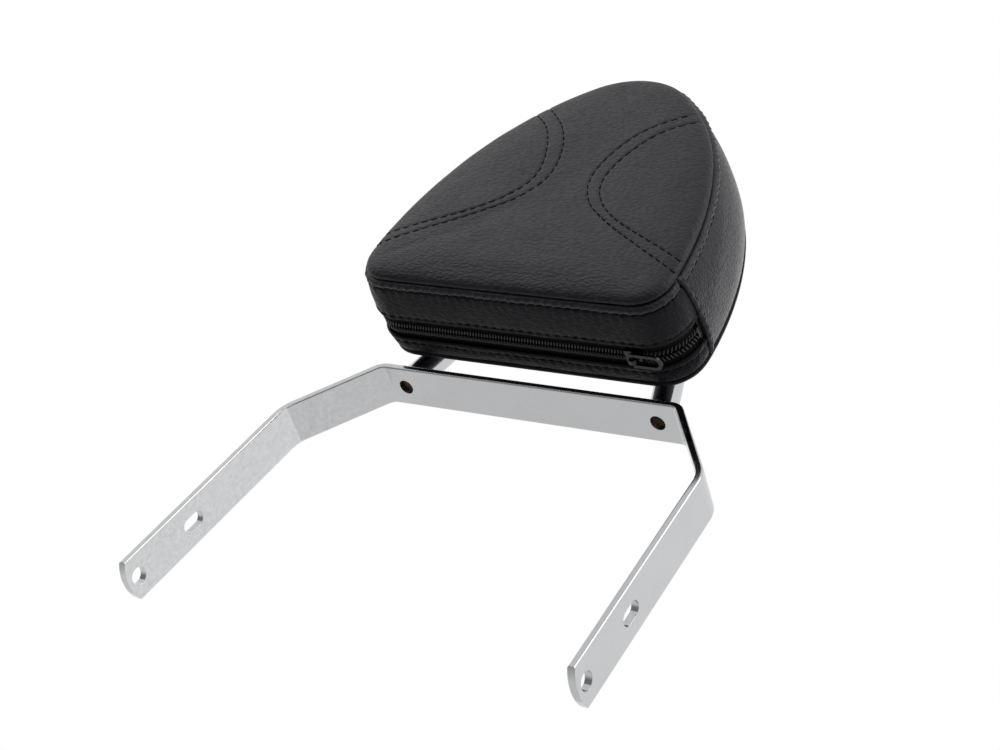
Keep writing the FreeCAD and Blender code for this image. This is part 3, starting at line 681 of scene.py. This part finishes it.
def dressNode(name, finish):
    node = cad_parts[name]
    for slot in node.material_slots:
        slot.material = finishes[finish]
    if not node.material_slots:
        node.data.materials.append(finishes[finish])


for nodeName, finish in rigidFinish.items():
    dressNode(nodeName, finish)
report("rigid pieces dressed")


# Soft panels: a coarse cage is puffed up as cloth, then smoothed and given its fine relief

puff = {"frames": 20, "mass": 0.35, "stiffness": 18.0, "bending": 1.6}


def puffUp(piece, pinned, pressure, cap):
    # cloth under gentle pressure, held at the pinned points; no point moves further than the cap
    before = np.array([v.co for v in piece.data.vertices])
    group = piece.vertex_groups.new(name="held")
    group.add([int(i) for i in pinned], 1.0, "REPLACE")
    cloth = piece.modifiers.new("cloth", "CLOTH")
    settings = cloth.settings
    settings.quality = 6
    settings.mass = puff["mass"]
    settings.tension_stiffness = puff["stiffness"]
    settings.compression_stiffness = puff["stiffness"]
    settings.shear_stiffness = puff["stiffness"]
    settings.bending_stiffness = puff["bending"]
    settings.vertex_group_mass = "held"
    settings.use_pressure = True
    settings.uniform_pressure_force = pressure
    settings.effector_weights.gravity = 0
    cloth.collision_settings.use_collision = False
    scene = bpy.context.scene
    for frameNumber in range(1, puff["frames"] + 1):
        scene.frame_set(frameNumber)
    shaped = piece.evaluated_get(bpy.context.evaluated_depsgraph_get()).to_mesh()
    after = np.array([v.co for v in shaped.vertices])
    piece.modifiers.remove(cloth)
    scene.frame_set(1)
    moved = after - before
    length = np.linalg.norm(moved, axis=1, keepdims=True)
    moved *= np.minimum(1.0, cap / np.maximum(length, 1e-9))
    piece.data.vertices.foreach_set("co", (before + moved).ravel())
    piece.data.update()
    print("  puffed %s: up to %.1f mm" % (piece.name, 1000 * float(np.minimum(length, cap).max())))


def calmRings(rings, before, spacing, sink):
    # on a cage of rings, keep only folds wider than the spacing, and let the foam stop them sinking
    moved = rings - before
    moved[..., 1] = np.minimum(moved[..., 1], sink)
    for row, ring in enumerate(before):
        around = np.linalg.norm(np.diff(ring, axis=0, append=ring[:1]), axis=1).sum()
        waves = np.fft.rfft(moved[row], axis=0)
        waves[int(around / spacing) + 1:] = 0
        moved[row] = np.fft.irfft(waves, len(ring), axis=0)
    return before + moved


def applyModifiers(piece):
    shaped = bpy.data.meshes.new_from_object(piece.evaluated_get(bpy.context.evaluated_depsgraph_get()))
    old = piece.data
    piece.modifiers.clear()
    piece.data = shaped
    bpy.data.meshes.remove(old)
    shaped.polygons.foreach_set("use_smooth", [True] * len(shaped.polygons))
    shaped.update()


def refine(piece, levels):
    smoother = piece.modifiers.new("smooth", "SUBSURF")
    smoother.levels = levels
    smoother.render_levels = levels
    applyModifiers(piece)


def thicken(piece, thickness):
    shell = piece.modifiers.new("thickness", "SOLIDIFY")
    shell.thickness = thickness
    shell.offset = -1
    applyModifiers(piece)


def leanPoints(piece):
    flat = np.empty(len(piece.data.vertices) * 3)
    piece.data.vertices.foreach_get("co", flat)
    return toLean(flat.reshape(-1, 3))


def setLeanPoints(piece, points):
    piece.data.vertices.foreach_set("co", toWorld(points).ravel())
    piece.data.update()


def rippleOn(points, ripple):
    # a slow, repeatable ripple from a few waves in different directions
    maker = np.random.default_rng(ripple["seed"])
    width = ripple["width"]
    total = np.zeros(len(points))
    for _ in range(6):
        direction = maker.normal(size=3)
        direction /= np.linalg.norm(direction)
        total += np.sin(points @ direction * 2 * math.pi / width + maker.uniform(0, 6.3))
        width *= 0.83
    return ripple["height"] * (total / 6)


def curveThrough(points, step):
    # a smooth line through given points, walked at an even step
    points = np.asarray(points, float)
    ends = np.vstack([2 * points[0] - points[1], points, 2 * points[-1] - points[-2]])
    pieces = []
    for a, b, c, d in zip(ends[:-3], ends[1:-2], ends[2:-1], ends[3:]):
        t = np.linspace(0, 1, 24, endpoint=False)[:, None]
        pieces.append(0.5 * (2 * b + (c - a) * t + (2 * a - 5 * b + 4 * c - d) * t ** 2
                             + (3 * b - a - 3 * c + d) * t ** 3))
    line = np.vstack(pieces + [points[-1:]])
    run = np.concatenate([[0], np.cumsum(np.linalg.norm(np.diff(line, axis=0), axis=1))])
    marks = np.arange(0, run[-1], step)
    return np.stack([np.interp(marks, run, line[:, k]) for k in range(line.shape[1])], 1)


# Front panel

frontPanel = {
    # edge profile in mm, from the seam's valley: outside the seam line, in front of the seam plane
    "edge": [(-3.0, -1.2), (-1.3, -0.7), (-0.35, 0.35), (0.05, 1.5), (-0.35, 2.9), (-2.0, 4.5),
             (-5.2, 5.8), (-9.8, 6.6), (-15.5, 7.1)],
    "foldSpacing": 26 * mm,
    "sink": 0.35 * mm,
    "crown": 8.4 * mm,
    "middle": (0, 108 * mm),
    "segments": 132,
    "rings": 15,
    "grooveDepth": 0.6 * mm,
    "grooveWidth": 0.8 * mm,
    "ripple": {"height": 0.25 * mm, "width": 58 * mm, "seed": 3},
    "puff": 1.2,
    "cap": 1.6 * mm,
}
trimLines = {
    # the two curved rows on the right half, seen from the front, in mm; the left half mirrors them
    "outer": [(116, 54), (86, 67), (56, 82), (36, 99), (27, 118), (31, 142), (46, 169), (70, 190)],
    "inner": [(118, 43), (82, 61), (49, 80), (27, 98), (16.5, 121), (21, 148), (35, 172), (63, 198)],
}


def ringShares(count):
    # how large each ring inside the last edge ring is; a small hole is left in the middle
    return [1 - step / (count + 0.6) for step in range(1, count + 1)]


def frontCage():
    p = frontPanel
    points, normals = outlineAt(np.linspace(0, outlineLength, p["segments"], endpoint=False))
    rings = [ringAt(points + normals * offset * mm, -height * mm) for offset, height in p["edge"]]
    last = rings[-1]
    middle = np.array([p["middle"][0], lean["seamPlane"] - p["crown"], p["middle"][1]])
    base = lean["seamPlane"] - p["edge"][-1][1] * mm
    for share in ringShares(p["rings"]):
        ring = middle + (last - middle) * share
        ring[:, 1] = base + (middle[1] - base) * (1 - share ** 2)
        rings.append(ring)
    return np.array(rings)


def trimPaths(step):
    paths = []
    for key in ("outer", "inner"):
        line = curveThrough(np.array(trimLines[key]) * mm, step)
        paths.append(line)
        paths.append(line * np.array([-1, 1]))
    return paths


def distanceTo(paths, points):
    # shortest distance from points in the panel's plane to any of the paths
    best = np.full(len(points), 1.0)
    for path in paths:
        for chunk in range(0, len(points), 4000):
            part = points[chunk:chunk + 4000]
            gap = np.linalg.norm(part[:, None] - path[None], axis=2).min(1)
            best[chunk:chunk + 4000] = np.minimum(best[chunk:chunk + 4000], gap)
    return best


def makeFrontPanel():
    p = frontPanel
    rings = frontCage()
    faces = tubeFaces(*rings.shape[:2], ends=(False, True))
    panel = newMesh("front_vinyl", rings, faces, slot="vinyl", finish="vinyl")
    puffUp(panel, range(2 * p["segments"]), -p["puff"], p["cap"])
    puffed = leanPoints(panel).reshape(rings.shape)
    setLeanPoints(panel, calmRings(puffed, rings, p["foldSpacing"], p["sink"]))
    refine(panel, 2)
    local = leanPoints(panel)
    gap = distanceTo(trimPaths(0.6 * mm), local[:, [0, 2]])
    groove = np.exp(-(gap / p["grooveWidth"]) ** 2) * p["grooveDepth"]
    front = np.clip((lean["seamPlane"] - local[:, 1]) / (3 * mm), 0, 1)
    local[:, 1] += groove * front + rippleOn(local, p["ripple"]) * front
    setLeanPoints(panel, local)
    fixNormals(panel, close=True)
    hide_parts("front_panel")
    return panel


def fixNormals(piece, close=False):
    # faces all look outwards; close adds one hidden face where a panel meets the foam
    form = bmesh.new()
    form.from_mesh(piece.data)
    if close:
        edges = [edge for edge in form.edges if edge.is_boundary]
        bmesh.ops.holes_fill(form, edges=edges, sides=0)
    bmesh.ops.recalc_face_normals(form, faces=form.faces)
    form.to_mesh(piece.data)
    form.free()
    piece.data.polygons.foreach_set("use_smooth", [True] * len(piece.data.polygons))
    piece.data.update()


# Sides: the long panel over the crest and the two strips beside the zip

sides = {
    "seamGap": 0.5 * mm,
    "upperBulge": 3.0 * mm,
    "bulgeAt": 0.27,
    "bulgeWidth": 0.10,
    "columns": 96,
    "depths": [5.0, 6.0, 9.5, 15, 22, 30, 38, 46, 54, 59, 61.6, 62.6],
    "middle": (0, 105 * mm),
    "ripple": {"height": 0.4 * mm, "width": 52 * mm, "seed": 5},
    "thickness": 1.3 * mm,
    "puff": 2.0,
    "cap": 1.4 * mm,
}


def upperSwell(lengths):
    # the shoulders stand out a little more than the plain section
    share = (np.asarray(lengths) / outlineLength) % 1
    away = (np.minimum(share, 1 - share) - sides["bulgeAt"]) / sides["bulgeWidth"]
    return sides["upperBulge"] * np.exp(-away ** 2)


def makeSidePanel():
    s = sides
    start = seamAt + s["seamGap"]
    lengths = np.linspace(start, outlineLength - start, s["columns"])
    points, normals = outlineAt(lengths)
    depths = np.array(s["depths"]) * mm
    # both long edges turn in, to the front welt and to the back panel
    offsets = boxing(depths)
    offsets[0] = -1.2 * mm
    offsets[1] += 0.1 * mm
    offsets[-2] -= 0.2 * mm
    offsets[-1] -= 1.8 * mm
    swell = np.sin(math.pi * np.clip((depths - depths[1]) / (depths[-2] - depths[1]), 0, 1)) ** 0.8
    rows = []
    for depth, offset, part in zip(depths, offsets, swell):
        reach = offset + part * upperSwell(lengths)
        rows.append(ringAt(points + normals * reach[:, None], depth))
    rows = np.array(rows)
    count, columns = rows.shape[:2]
    panel = newMesh("side_vinyl", rows, gridFaces(count, columns), slot="vinyl", finish="vinyl")
    pinned = [i for i in range(count * columns) if i // columns < 2 or i // columns >= count - 2
              or i % columns == 0 or i % columns == columns - 1]
    puffUp(panel, pinned, -s["puff"], s["cap"])
    refine(panel, 2)
    local = leanPoints(panel)
    inside = np.clip((local[:, 1] - lean["seamPlane"] - 7 * mm) / (8 * mm), 0, 1)
    ripple = rippleOn(local, s["ripple"]) * inside
    away = local[:, [0, 2]] - np.array(s["middle"])
    away /= np.linalg.norm(away, axis=1, keepdims=True)
    local[:, [0, 2]] += away * ripple[:, None]
    setLeanPoints(panel, local)
    thicken(panel, s["thickness"])
    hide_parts("side_panel")


# Two strips beside the zip, each a folded band of vinyl with a rolled lip

strips = {
    # (depth behind the seam plane, offset above the plain boxing) in mm; the way round is closed
    "front": [(5.0, -3.2), (5.2, -1.0), (6.0, 0.0), (7.4, 0.5), (10, 0.55), (14, 0.5), (19, 0.35),
              (24, 0.15), (26.7, 0.0), (27.8, -0.5), (28.7, -0.1), (29.5, 0.15), (30.1, -0.15),
              (30.4, -0.9), (30.0, -1.6), (28.8, -2.0), (24, -2.1), (14, -2.1), (8, -3.0)],
    "rear": [(62.9, -3.4), (62.8, -1.6), (62.2, -0.5), (61.0, 0.1), (59, 0.25), (56.6, 0.2),
             (54.0, 0.05), (52.6, -0.45), (51.3, 0.0), (49.6, 0.15), (48.4, -0.1), (47.8, -0.85),
             (48.2, -1.6), (49.5, -2.0), (54, -2.1), (60, -2.9)],
    "sewnRows": (7.4, 27.8, 52.6),
    "insideBelow": -1.2,
    "step": 1.0 * mm,
    "pucker": 0.42 * mm,
    "wave": 0.25 * mm,
}
stitch = {
    "length": 4.9 * mm,
    "gap": 2.1 * mm,
    "radius": 0.44 * mm,
    "sides": 6,
    "marks": 8,
    "proud": 0.12 * mm,
    "sunk": 0.45 * mm,
}
stitchPitch = stitch["length"] + stitch["gap"]


def pucker(length, amount):
    # the vinyl dips where each stitch goes in
    turn = 2 * math.pi * length / stitchPitch
    return amount * (0.75 * math.cos(turn) + 0.35 * math.cos(2 * turn + 0.6))


def stripRelief(depth, length):
    # puckers along the sewn rows, and slow waves
    s = strips
    near = sum(math.exp(-((depth - row) / 1.7) ** 2) for row in s["sewnRows"])
    wave = s["wave"] * math.sin(length / (9 * mm) + depth / 6) * math.sin(length / (23 * mm))
    return near * pucker(length, s["pucker"]) + wave


def makeStrip(name, key, node, finish):
    s = strips
    end = seamAt - sides["seamGap"]
    lengths = np.linspace(-end, end, int(2 * end / s["step"]))

    def pairs(length):
        shaped = []
        for depth, above in s[key]:
            relief = 0 if above < s["insideBelow"] else stripRelief(depth, length)
            shaped.append((depth * mm, boxing(depth * mm) + above * mm + relief))
        return shaped

    band = sweep(name, lengths, pairs, slot="vinyl", finish=finish)
    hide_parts(node)


# Back panel: flat where it rests on the cross plates, dimpled round the four bolts

backPanel = {
    # (outside the seam line, depth behind the seam plane) in mm
    "edge": [(1.0, 61.4), (3.2, 62.6), (3.9, 63.6), (3.7, 65.0), (2.6, 66.6), (0.4, 68.0), (-3.2, 69.0),
             (-7.0, 69.4), (-11.0, 69.5)],
    "middle": (0, 105 * mm),
    "segments": 132,
    "rings": 13,
    "flatFrom": 68.6 * mm,
    "ripple": {"height": 0.22 * mm, "width": 60 * mm, "seed": 8},
    "dimple": 0.9 * mm,
    "dimpleWidth": 11 * mm,
    "bolts": [(40, 72), (-40, 72), (28, 132), (-28, 132)],
}


def makeBackPanel():
    p = backPanel
    points, normals = outlineAt(np.linspace(0, outlineLength, p["segments"], endpoint=False))
    rings = [ringAt(points + normals * offset * mm, depth * mm) for offset, depth in p["edge"]]
    last = rings[-1]
    middle = np.array([p["middle"][0], last[0, 1], p["middle"][1]])
    for share in ringShares(p["rings"]):
        rings.append(middle + (last - middle) * share)
    faces = [tuple(reversed(face)) for face in tubeFaces(len(rings), p["segments"], ends=(False, True))]
    panel = newMesh("back_vinyl", np.array(rings), faces, slot="vinyl", finish="shadedBackVinyl")
    refine(panel, 1)
    local = leanPoints(panel)
    flatPart = np.clip((local[:, 1] - lean["seamPlane"] - p["flatFrom"]) / (0.8 * mm), 0, 1)
    for x, level in p["bolts"]:
        gap = np.linalg.norm(local[:, [0, 2]] - np.array([x, level]) * mm, axis=1)
        local[:, 1] -= p["dimple"] * np.exp(-(gap / p["dimpleWidth"]) ** 2) * flatPart
    local[:, 1] -= (p["ripple"]["height"] + rippleOn(local, p["ripple"])) * flatPart
    setLeanPoints(panel, local)
    fixNormals(panel, close=True)
    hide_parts("back_panel")


# Welts: a folded band stitched down, round the front seam and down each lower corner

welt = {
    # (depth behind the seam plane, outside the outline) in mm
    "section": [(0.4, -2.6), (0.25, -1.0), (0.45, 0.5), (1.15, 1.8), (2.3, 2.6), (3.3, 2.85), (4.3, 2.6),
                (5.1, 2.0), (5.55, 1.35), (6.0, 0.9), (6.0, -1.6)],
    "step": 0.9 * mm,
    "pucker": 0.34 * mm,
    "wander": 0.30 * mm,
    "cornerDip": 1.9 * mm,
    "cornerWidth": 2.6 * mm,
}
cornerWelt = {
    # (along the outline from the corner seam, above the boxing) in mm
    "section": [(0.3, -6.5), (0.25, -2.4), (0.2, -0.6), (0.35, 0.8), (0.9, 1.9), (1.8, 2.45), (2.8, 2.2),
                (3.5, 1.5), (4.0, 0.9), (4.5, 0.3), (4.5, -1.8), (3.6, -6.5)],
    "step": 0.9 * mm,
    "start": 0.2 * mm,
    "end": 62.4 * mm,
    "pucker": 0.36 * mm,
    "wander": 0.2 * mm,
}


def makeFrontWelt():
    w = welt
    lengths = np.linspace(0, outlineLength, int(outlineLength / w["step"]), endpoint=False)

    def pairs(length):
        away = min(abs(length - seamAt), abs(outlineLength - seamAt - length))
        dip = w["cornerDip"] * math.exp(-(away / w["cornerWidth"]) ** 2)
        wander = w["wander"] * math.sin(length / (7.3 * mm)) * math.sin(length / (19 * mm) + 1)
        shaped = []
        for depth, above in w["section"]:
            share = max(0.0, min(1.0, (above + 0.6) / 2.6))
            extra = share * (pucker(length, w["pucker"]) * (0.35 + depth / 6) + wander)
            shaped.append((depth * mm, above * mm + extra - share * dip))
        return shaped

    roll = sweep("front_welt_roll", lengths, pairs, closed=True, slot="vinyl_welt", finish="welt")
    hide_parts("front_welt")


def cornerSpot(side, length, depth, above):
    # a point beside a corner seam and the way out of the pad there, in the leaning frame
    points, normals = outlineAt([length])
    out = normals[0]
    spot = points[0] + out * (boxing(depth) * min(1.0, depth / boxingShape["frontRoll"]) + above)
    return (np.array([side * spot[0], lean["seamPlane"] + depth, spot[1]]),
            np.array([side * out[0], 0.0, out[1]]))


def makeCornerWelt(name, side, node):
    w = cornerWelt
    rings = []
    for depth in np.arange(w["start"], w["end"], w["step"]):
        rise = (depth - w["start"] + 1.2 * mm) / (3.2 * mm)
        fall = (w["end"] - depth + 0.8 * mm) / (2.5 * mm)
        ends = min(1.0, rise, fall)
        ring = []
        for along, above in w["section"]:
            share = max(0.0, min(1.0, (above + 0.4) / 2.0))
            lift = above * mm * (ends if above > 0 else 1) + share * pucker(depth + 1 * mm, w["pucker"])
            lift += share * w["wander"] * math.sin(depth / (5.1 * mm))
            ring.append(cornerSpot(side, seamAt + along * mm, depth, lift)[0])
        rings.append(ring)
    faces = tubeFaces(len(rings), len(w["section"]))
    roll = newMesh(name, np.array(rings), faces, slot="vinyl_welt", finish="welt")
    fixNormals(roll)
    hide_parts(node)


# Zip: two tapes and two rows of coil

zipTape = {
    "level": 1.5 * mm,
    "thickness": 0.8 * mm,
    "middle": 40 * mm,
    "half": 13 * mm,
    "slit": 0.8 * mm,
    "endGap": 0.4 * mm,
    "step": 1.2 * mm,
    "wave": 0.05 * mm,
}
zipCoil = {
    "pitch": 2.3 * mm,
    "half": 4.0 * mm,
    "height": 2.0 * mm,
    "wire": 0.52 * mm,
    "slit": 0.85 * mm,
    "endGap": 1.2 * mm,
    "sides": 7,
}


def makeTapePiece(name, side, node):
    t = zipTape
    end = seamAt - t["endGap"]
    lengths = np.linspace(-end, end, int(2 * end / t["step"]))
    depths = np.linspace(t["middle"] + side * t["slit"], t["middle"] + side * t["half"], 12)
    face = t["level"] + t["thickness"]

    def pairs(length):
        top = [(depth, face + t["wave"] * math.sin(length / (3 * mm) + 900 * depth)) for depth in depths]
        bottom = [(depth, t["level"]) for depth in reversed(depths)]
        return top + bottom

    tape = sweep(name, lengths, pairs, slot="zip_tape", finish="tape")
    fixNormals(tape)
    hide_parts(node)


def makeCoil(name, side, node):
    # one bent loop of the nylon spiral at each pitch, leaning like a screw's thread
    c = zipCoil
    end = seamAt - c["endGap"]
    base = zipTape["level"] + zipTape["thickness"]
    arch = []
    for k in range(9):
        angle = math.pi * k / 8
        depth = c["slit"] + (c["half"] - c["slit"]) * (0.5 + 0.5 * math.cos(angle))
        arch.append((depth, c["wire"] + (c["height"] - 2 * c["wire"]) * math.sin(angle) ** 0.6))
    arch = np.array(arch)
    starts = np.arange(-end, end, c["pitch"]) + (0.25 if side > 0 else 0.75) * c["pitch"]
    starts = starts[starts < end]
    vertices, faces = [], []
    for start in starts:
        lengths = start + np.linspace(0.35, -0.35, len(arch)) * c["pitch"]
        points, normals = outlineAt(lengths)
        line = np.stack([
            points[:, 0] + normals[:, 0] * (base + arch[:, 1]),
            lean["seamPlane"] + zipTape["middle"] + side * arch[:, 0],
            points[:, 1] + normals[:, 1] * (base + arch[:, 1]),
        ], 1)
        addTube(vertices, faces, line, c["wire"], c["sides"])
    coil = newMesh(name, vertices, faces, slot="zip_coil", finish="nylon")
    fixNormals(coil)
    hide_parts(node)


def addTube(vertices, faces, line, radius, count, pinch=False):
    # a round thread along a line of points, closed at both ends
    line = np.asarray(line)
    tangents = np.gradient(line, axis=0)
    tangents /= np.linalg.norm(tangents, axis=1, keepdims=True)
    helper = np.array([0.0, 0.0, 1.0]) if abs(tangents[0, 2]) < 0.8 else np.array([1.0, 0.0, 0.0])
    first = len(vertices)
    for k, (point, tangent) in enumerate(zip(line, tangents)):
        across = np.cross(tangent, helper)
        across /= np.linalg.norm(across)
        above = np.cross(across, tangent)
        size = radius * (0.45 if pinch and k in (0, len(line) - 1) else 1.0)
        for turn in range(count):
            angle = 2 * math.pi * turn / count
            vertices.append(point + size * (math.cos(angle) * across + math.sin(angle) * above))
    faces.extend(tubeFaces(len(line), count, offset=first))


# Stitches: one bent capsule of thread for each, along every sewn row

seams = {
    # depth behind the seam plane and place outside the outline
    "weltRow": (5.75 * mm, 1.75 * mm),
    "lipRows": (27.8 * mm, 52.6 * mm),
    "lipSink": 0.30 * mm,
    "rowEnd": 1.2 * mm,
    "upperStart": 5.5 * mm,
    "cornerAlong": 4.15 * mm,
    "cornerAbove": 0.95 * mm,
    "cornerRun": (2.5 * mm, 61.5 * mm),
    "trimMargin": 1.0 * mm,
}


def stitchRow(vertices, faces, spotAt, start, end):
    # spotAt(length) gives the point on the vinyl and the way out of it, in the leaning frame
    s = stitch
    length = start
    while length + s["length"] < end:
        marks = length + np.linspace(0, 1, s["marks"]) * s["length"]
        line = []
        for mark in marks:
            point, out = spotAt(mark)
            line.append(point + out * (-s["sunk"] if mark in (marks[0], marks[-1]) else s["proud"]))
        addTube(vertices, faces, line, s["radius"], s["sides"], pinch=True)
        length += stitchPitch


def outlineSpot(depth, above):
    def spotAt(length):
        points, normals = outlineAt([length])
        out = normals[0]
        spot = points[0] + out * above
        return (np.array([spot[0], lean["seamPlane"] + depth, spot[1]]),
                np.array([out[0], 0.0, out[1]]))
    return spotAt


def makeStitches(name, rows):
    vertices, faces = [], []
    for row in rows:
        stitchRow(vertices, faces, *row)
    thread = newMesh(name, vertices, faces, slot="vinyl_welt", finish="thread")
    fixNormals(thread)


def surfaceUnder(piece):
    # looks up the panel's own surface, so that thread lies on it after the cloth has moved
    tree = BVHTree.FromObject(piece, bpy.context.evaluated_depsgraph_get())

    def find(point, fromSide):
        start = Vector(toWorld(point + fromSide * 20 * mm))
        aim = Vector(leanArray[:3, :3] @ -fromSide)
        hit, normal, _, _ = tree.ray_cast(start, aim, 40 * mm)
        if hit is None:
            return point, fromSide
        normal = normal if normal.dot(aim) < 0 else -normal
        return toLean(np.array(hit)), np.array(normal) @ leanArray[:3, :3]
    return find


outlineMarks = outlineAt(np.linspace(0, outlineLength, 720, endpoint=False))


def insideOutline(point):
    points, normals = outlineMarks
    nearest = np.argmin(np.linalg.norm(points - point, axis=1))
    return float((point - points[nearest]) @ normals[nearest]) < -seams["trimMargin"]


def trimRows(panel):
    # the curved double rows on the front panel, as far as they lie inside its seam
    find = surfaceUnder(panel)
    rows = []
    for path in trimPaths(0.3 * mm):
        run = np.concatenate([[0], np.cumsum(np.linalg.norm(np.diff(path, axis=0), axis=1))])

        def spotAt(length, path=path, run=run):
            x, z = (float(np.interp(length, run, path[:, k])) for k in (0, 1))
            return find(np.array([x, lean["seamPlane"], z]), np.array([0.0, -1.0, 0.0]))

        kept = run[np.array([insideOutline(point) for point in path])]
        rows.append((spotAt, kept.min(), kept.max()))
    return rows


def seamRows():
    # topstitch rows beside the welts and the zip's lips
    end = seamAt - seams["rowEnd"]
    upperStart = seamAt + seams["upperStart"]
    beside = outlineSpot(*seams["weltRow"])
    rows = [(beside, -end, end), (beside, upperStart, outlineLength - upperStart)]
    for depth in seams["lipRows"]:
        rows.append((outlineSpot(depth, float(boxing(depth)) - seams["lipSink"]), -end, end))
    for side in (1, -1):
        def spotAt(depth, side=side):
            return cornerSpot(side, seamAt + seams["cornerAlong"], depth, seams["cornerAbove"])
        rows.append((spotAt, *seams["cornerRun"]))
    return rows


frontVinyl = makeFrontPanel()
report("front panel made")
makeSidePanel()
report("side panel made")
makeStrip("lower_front_vinyl", "front", "lower_front_strip", "shadedStripVinyl")
makeStrip("lower_rear_vinyl", "rear", "lower_rear_strip", "shadedBackVinyl")
makeBackPanel()
report("strips and back made")
makeFrontWelt()
makeCornerWelt("right_corner_roll", 1, "right_corner_welt")
makeCornerWelt("left_corner_roll", -1, "left_corner_welt")
report("welts made")
makeTapePiece("front_tape_weave", -1, "front_zip_tape")
makeTapePiece("rear_tape_weave", 1, "rear_zip_tape")
makeCoil("front_coil_loops", -1, "front_zip_coil")
makeCoil("rear_coil_loops", 1, "rear_zip_coil")
report("zip made")
makeStitches("seam_stitches", seamRows())
makeStitches("front_trim_stitches", trimRows(frontVinyl))
report("stitches made")


def corners(bounds):
    return [[float(value) for value in corner] for corner in bounds]


{"cad": corners(cadBounds), "visual": corners(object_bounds())}
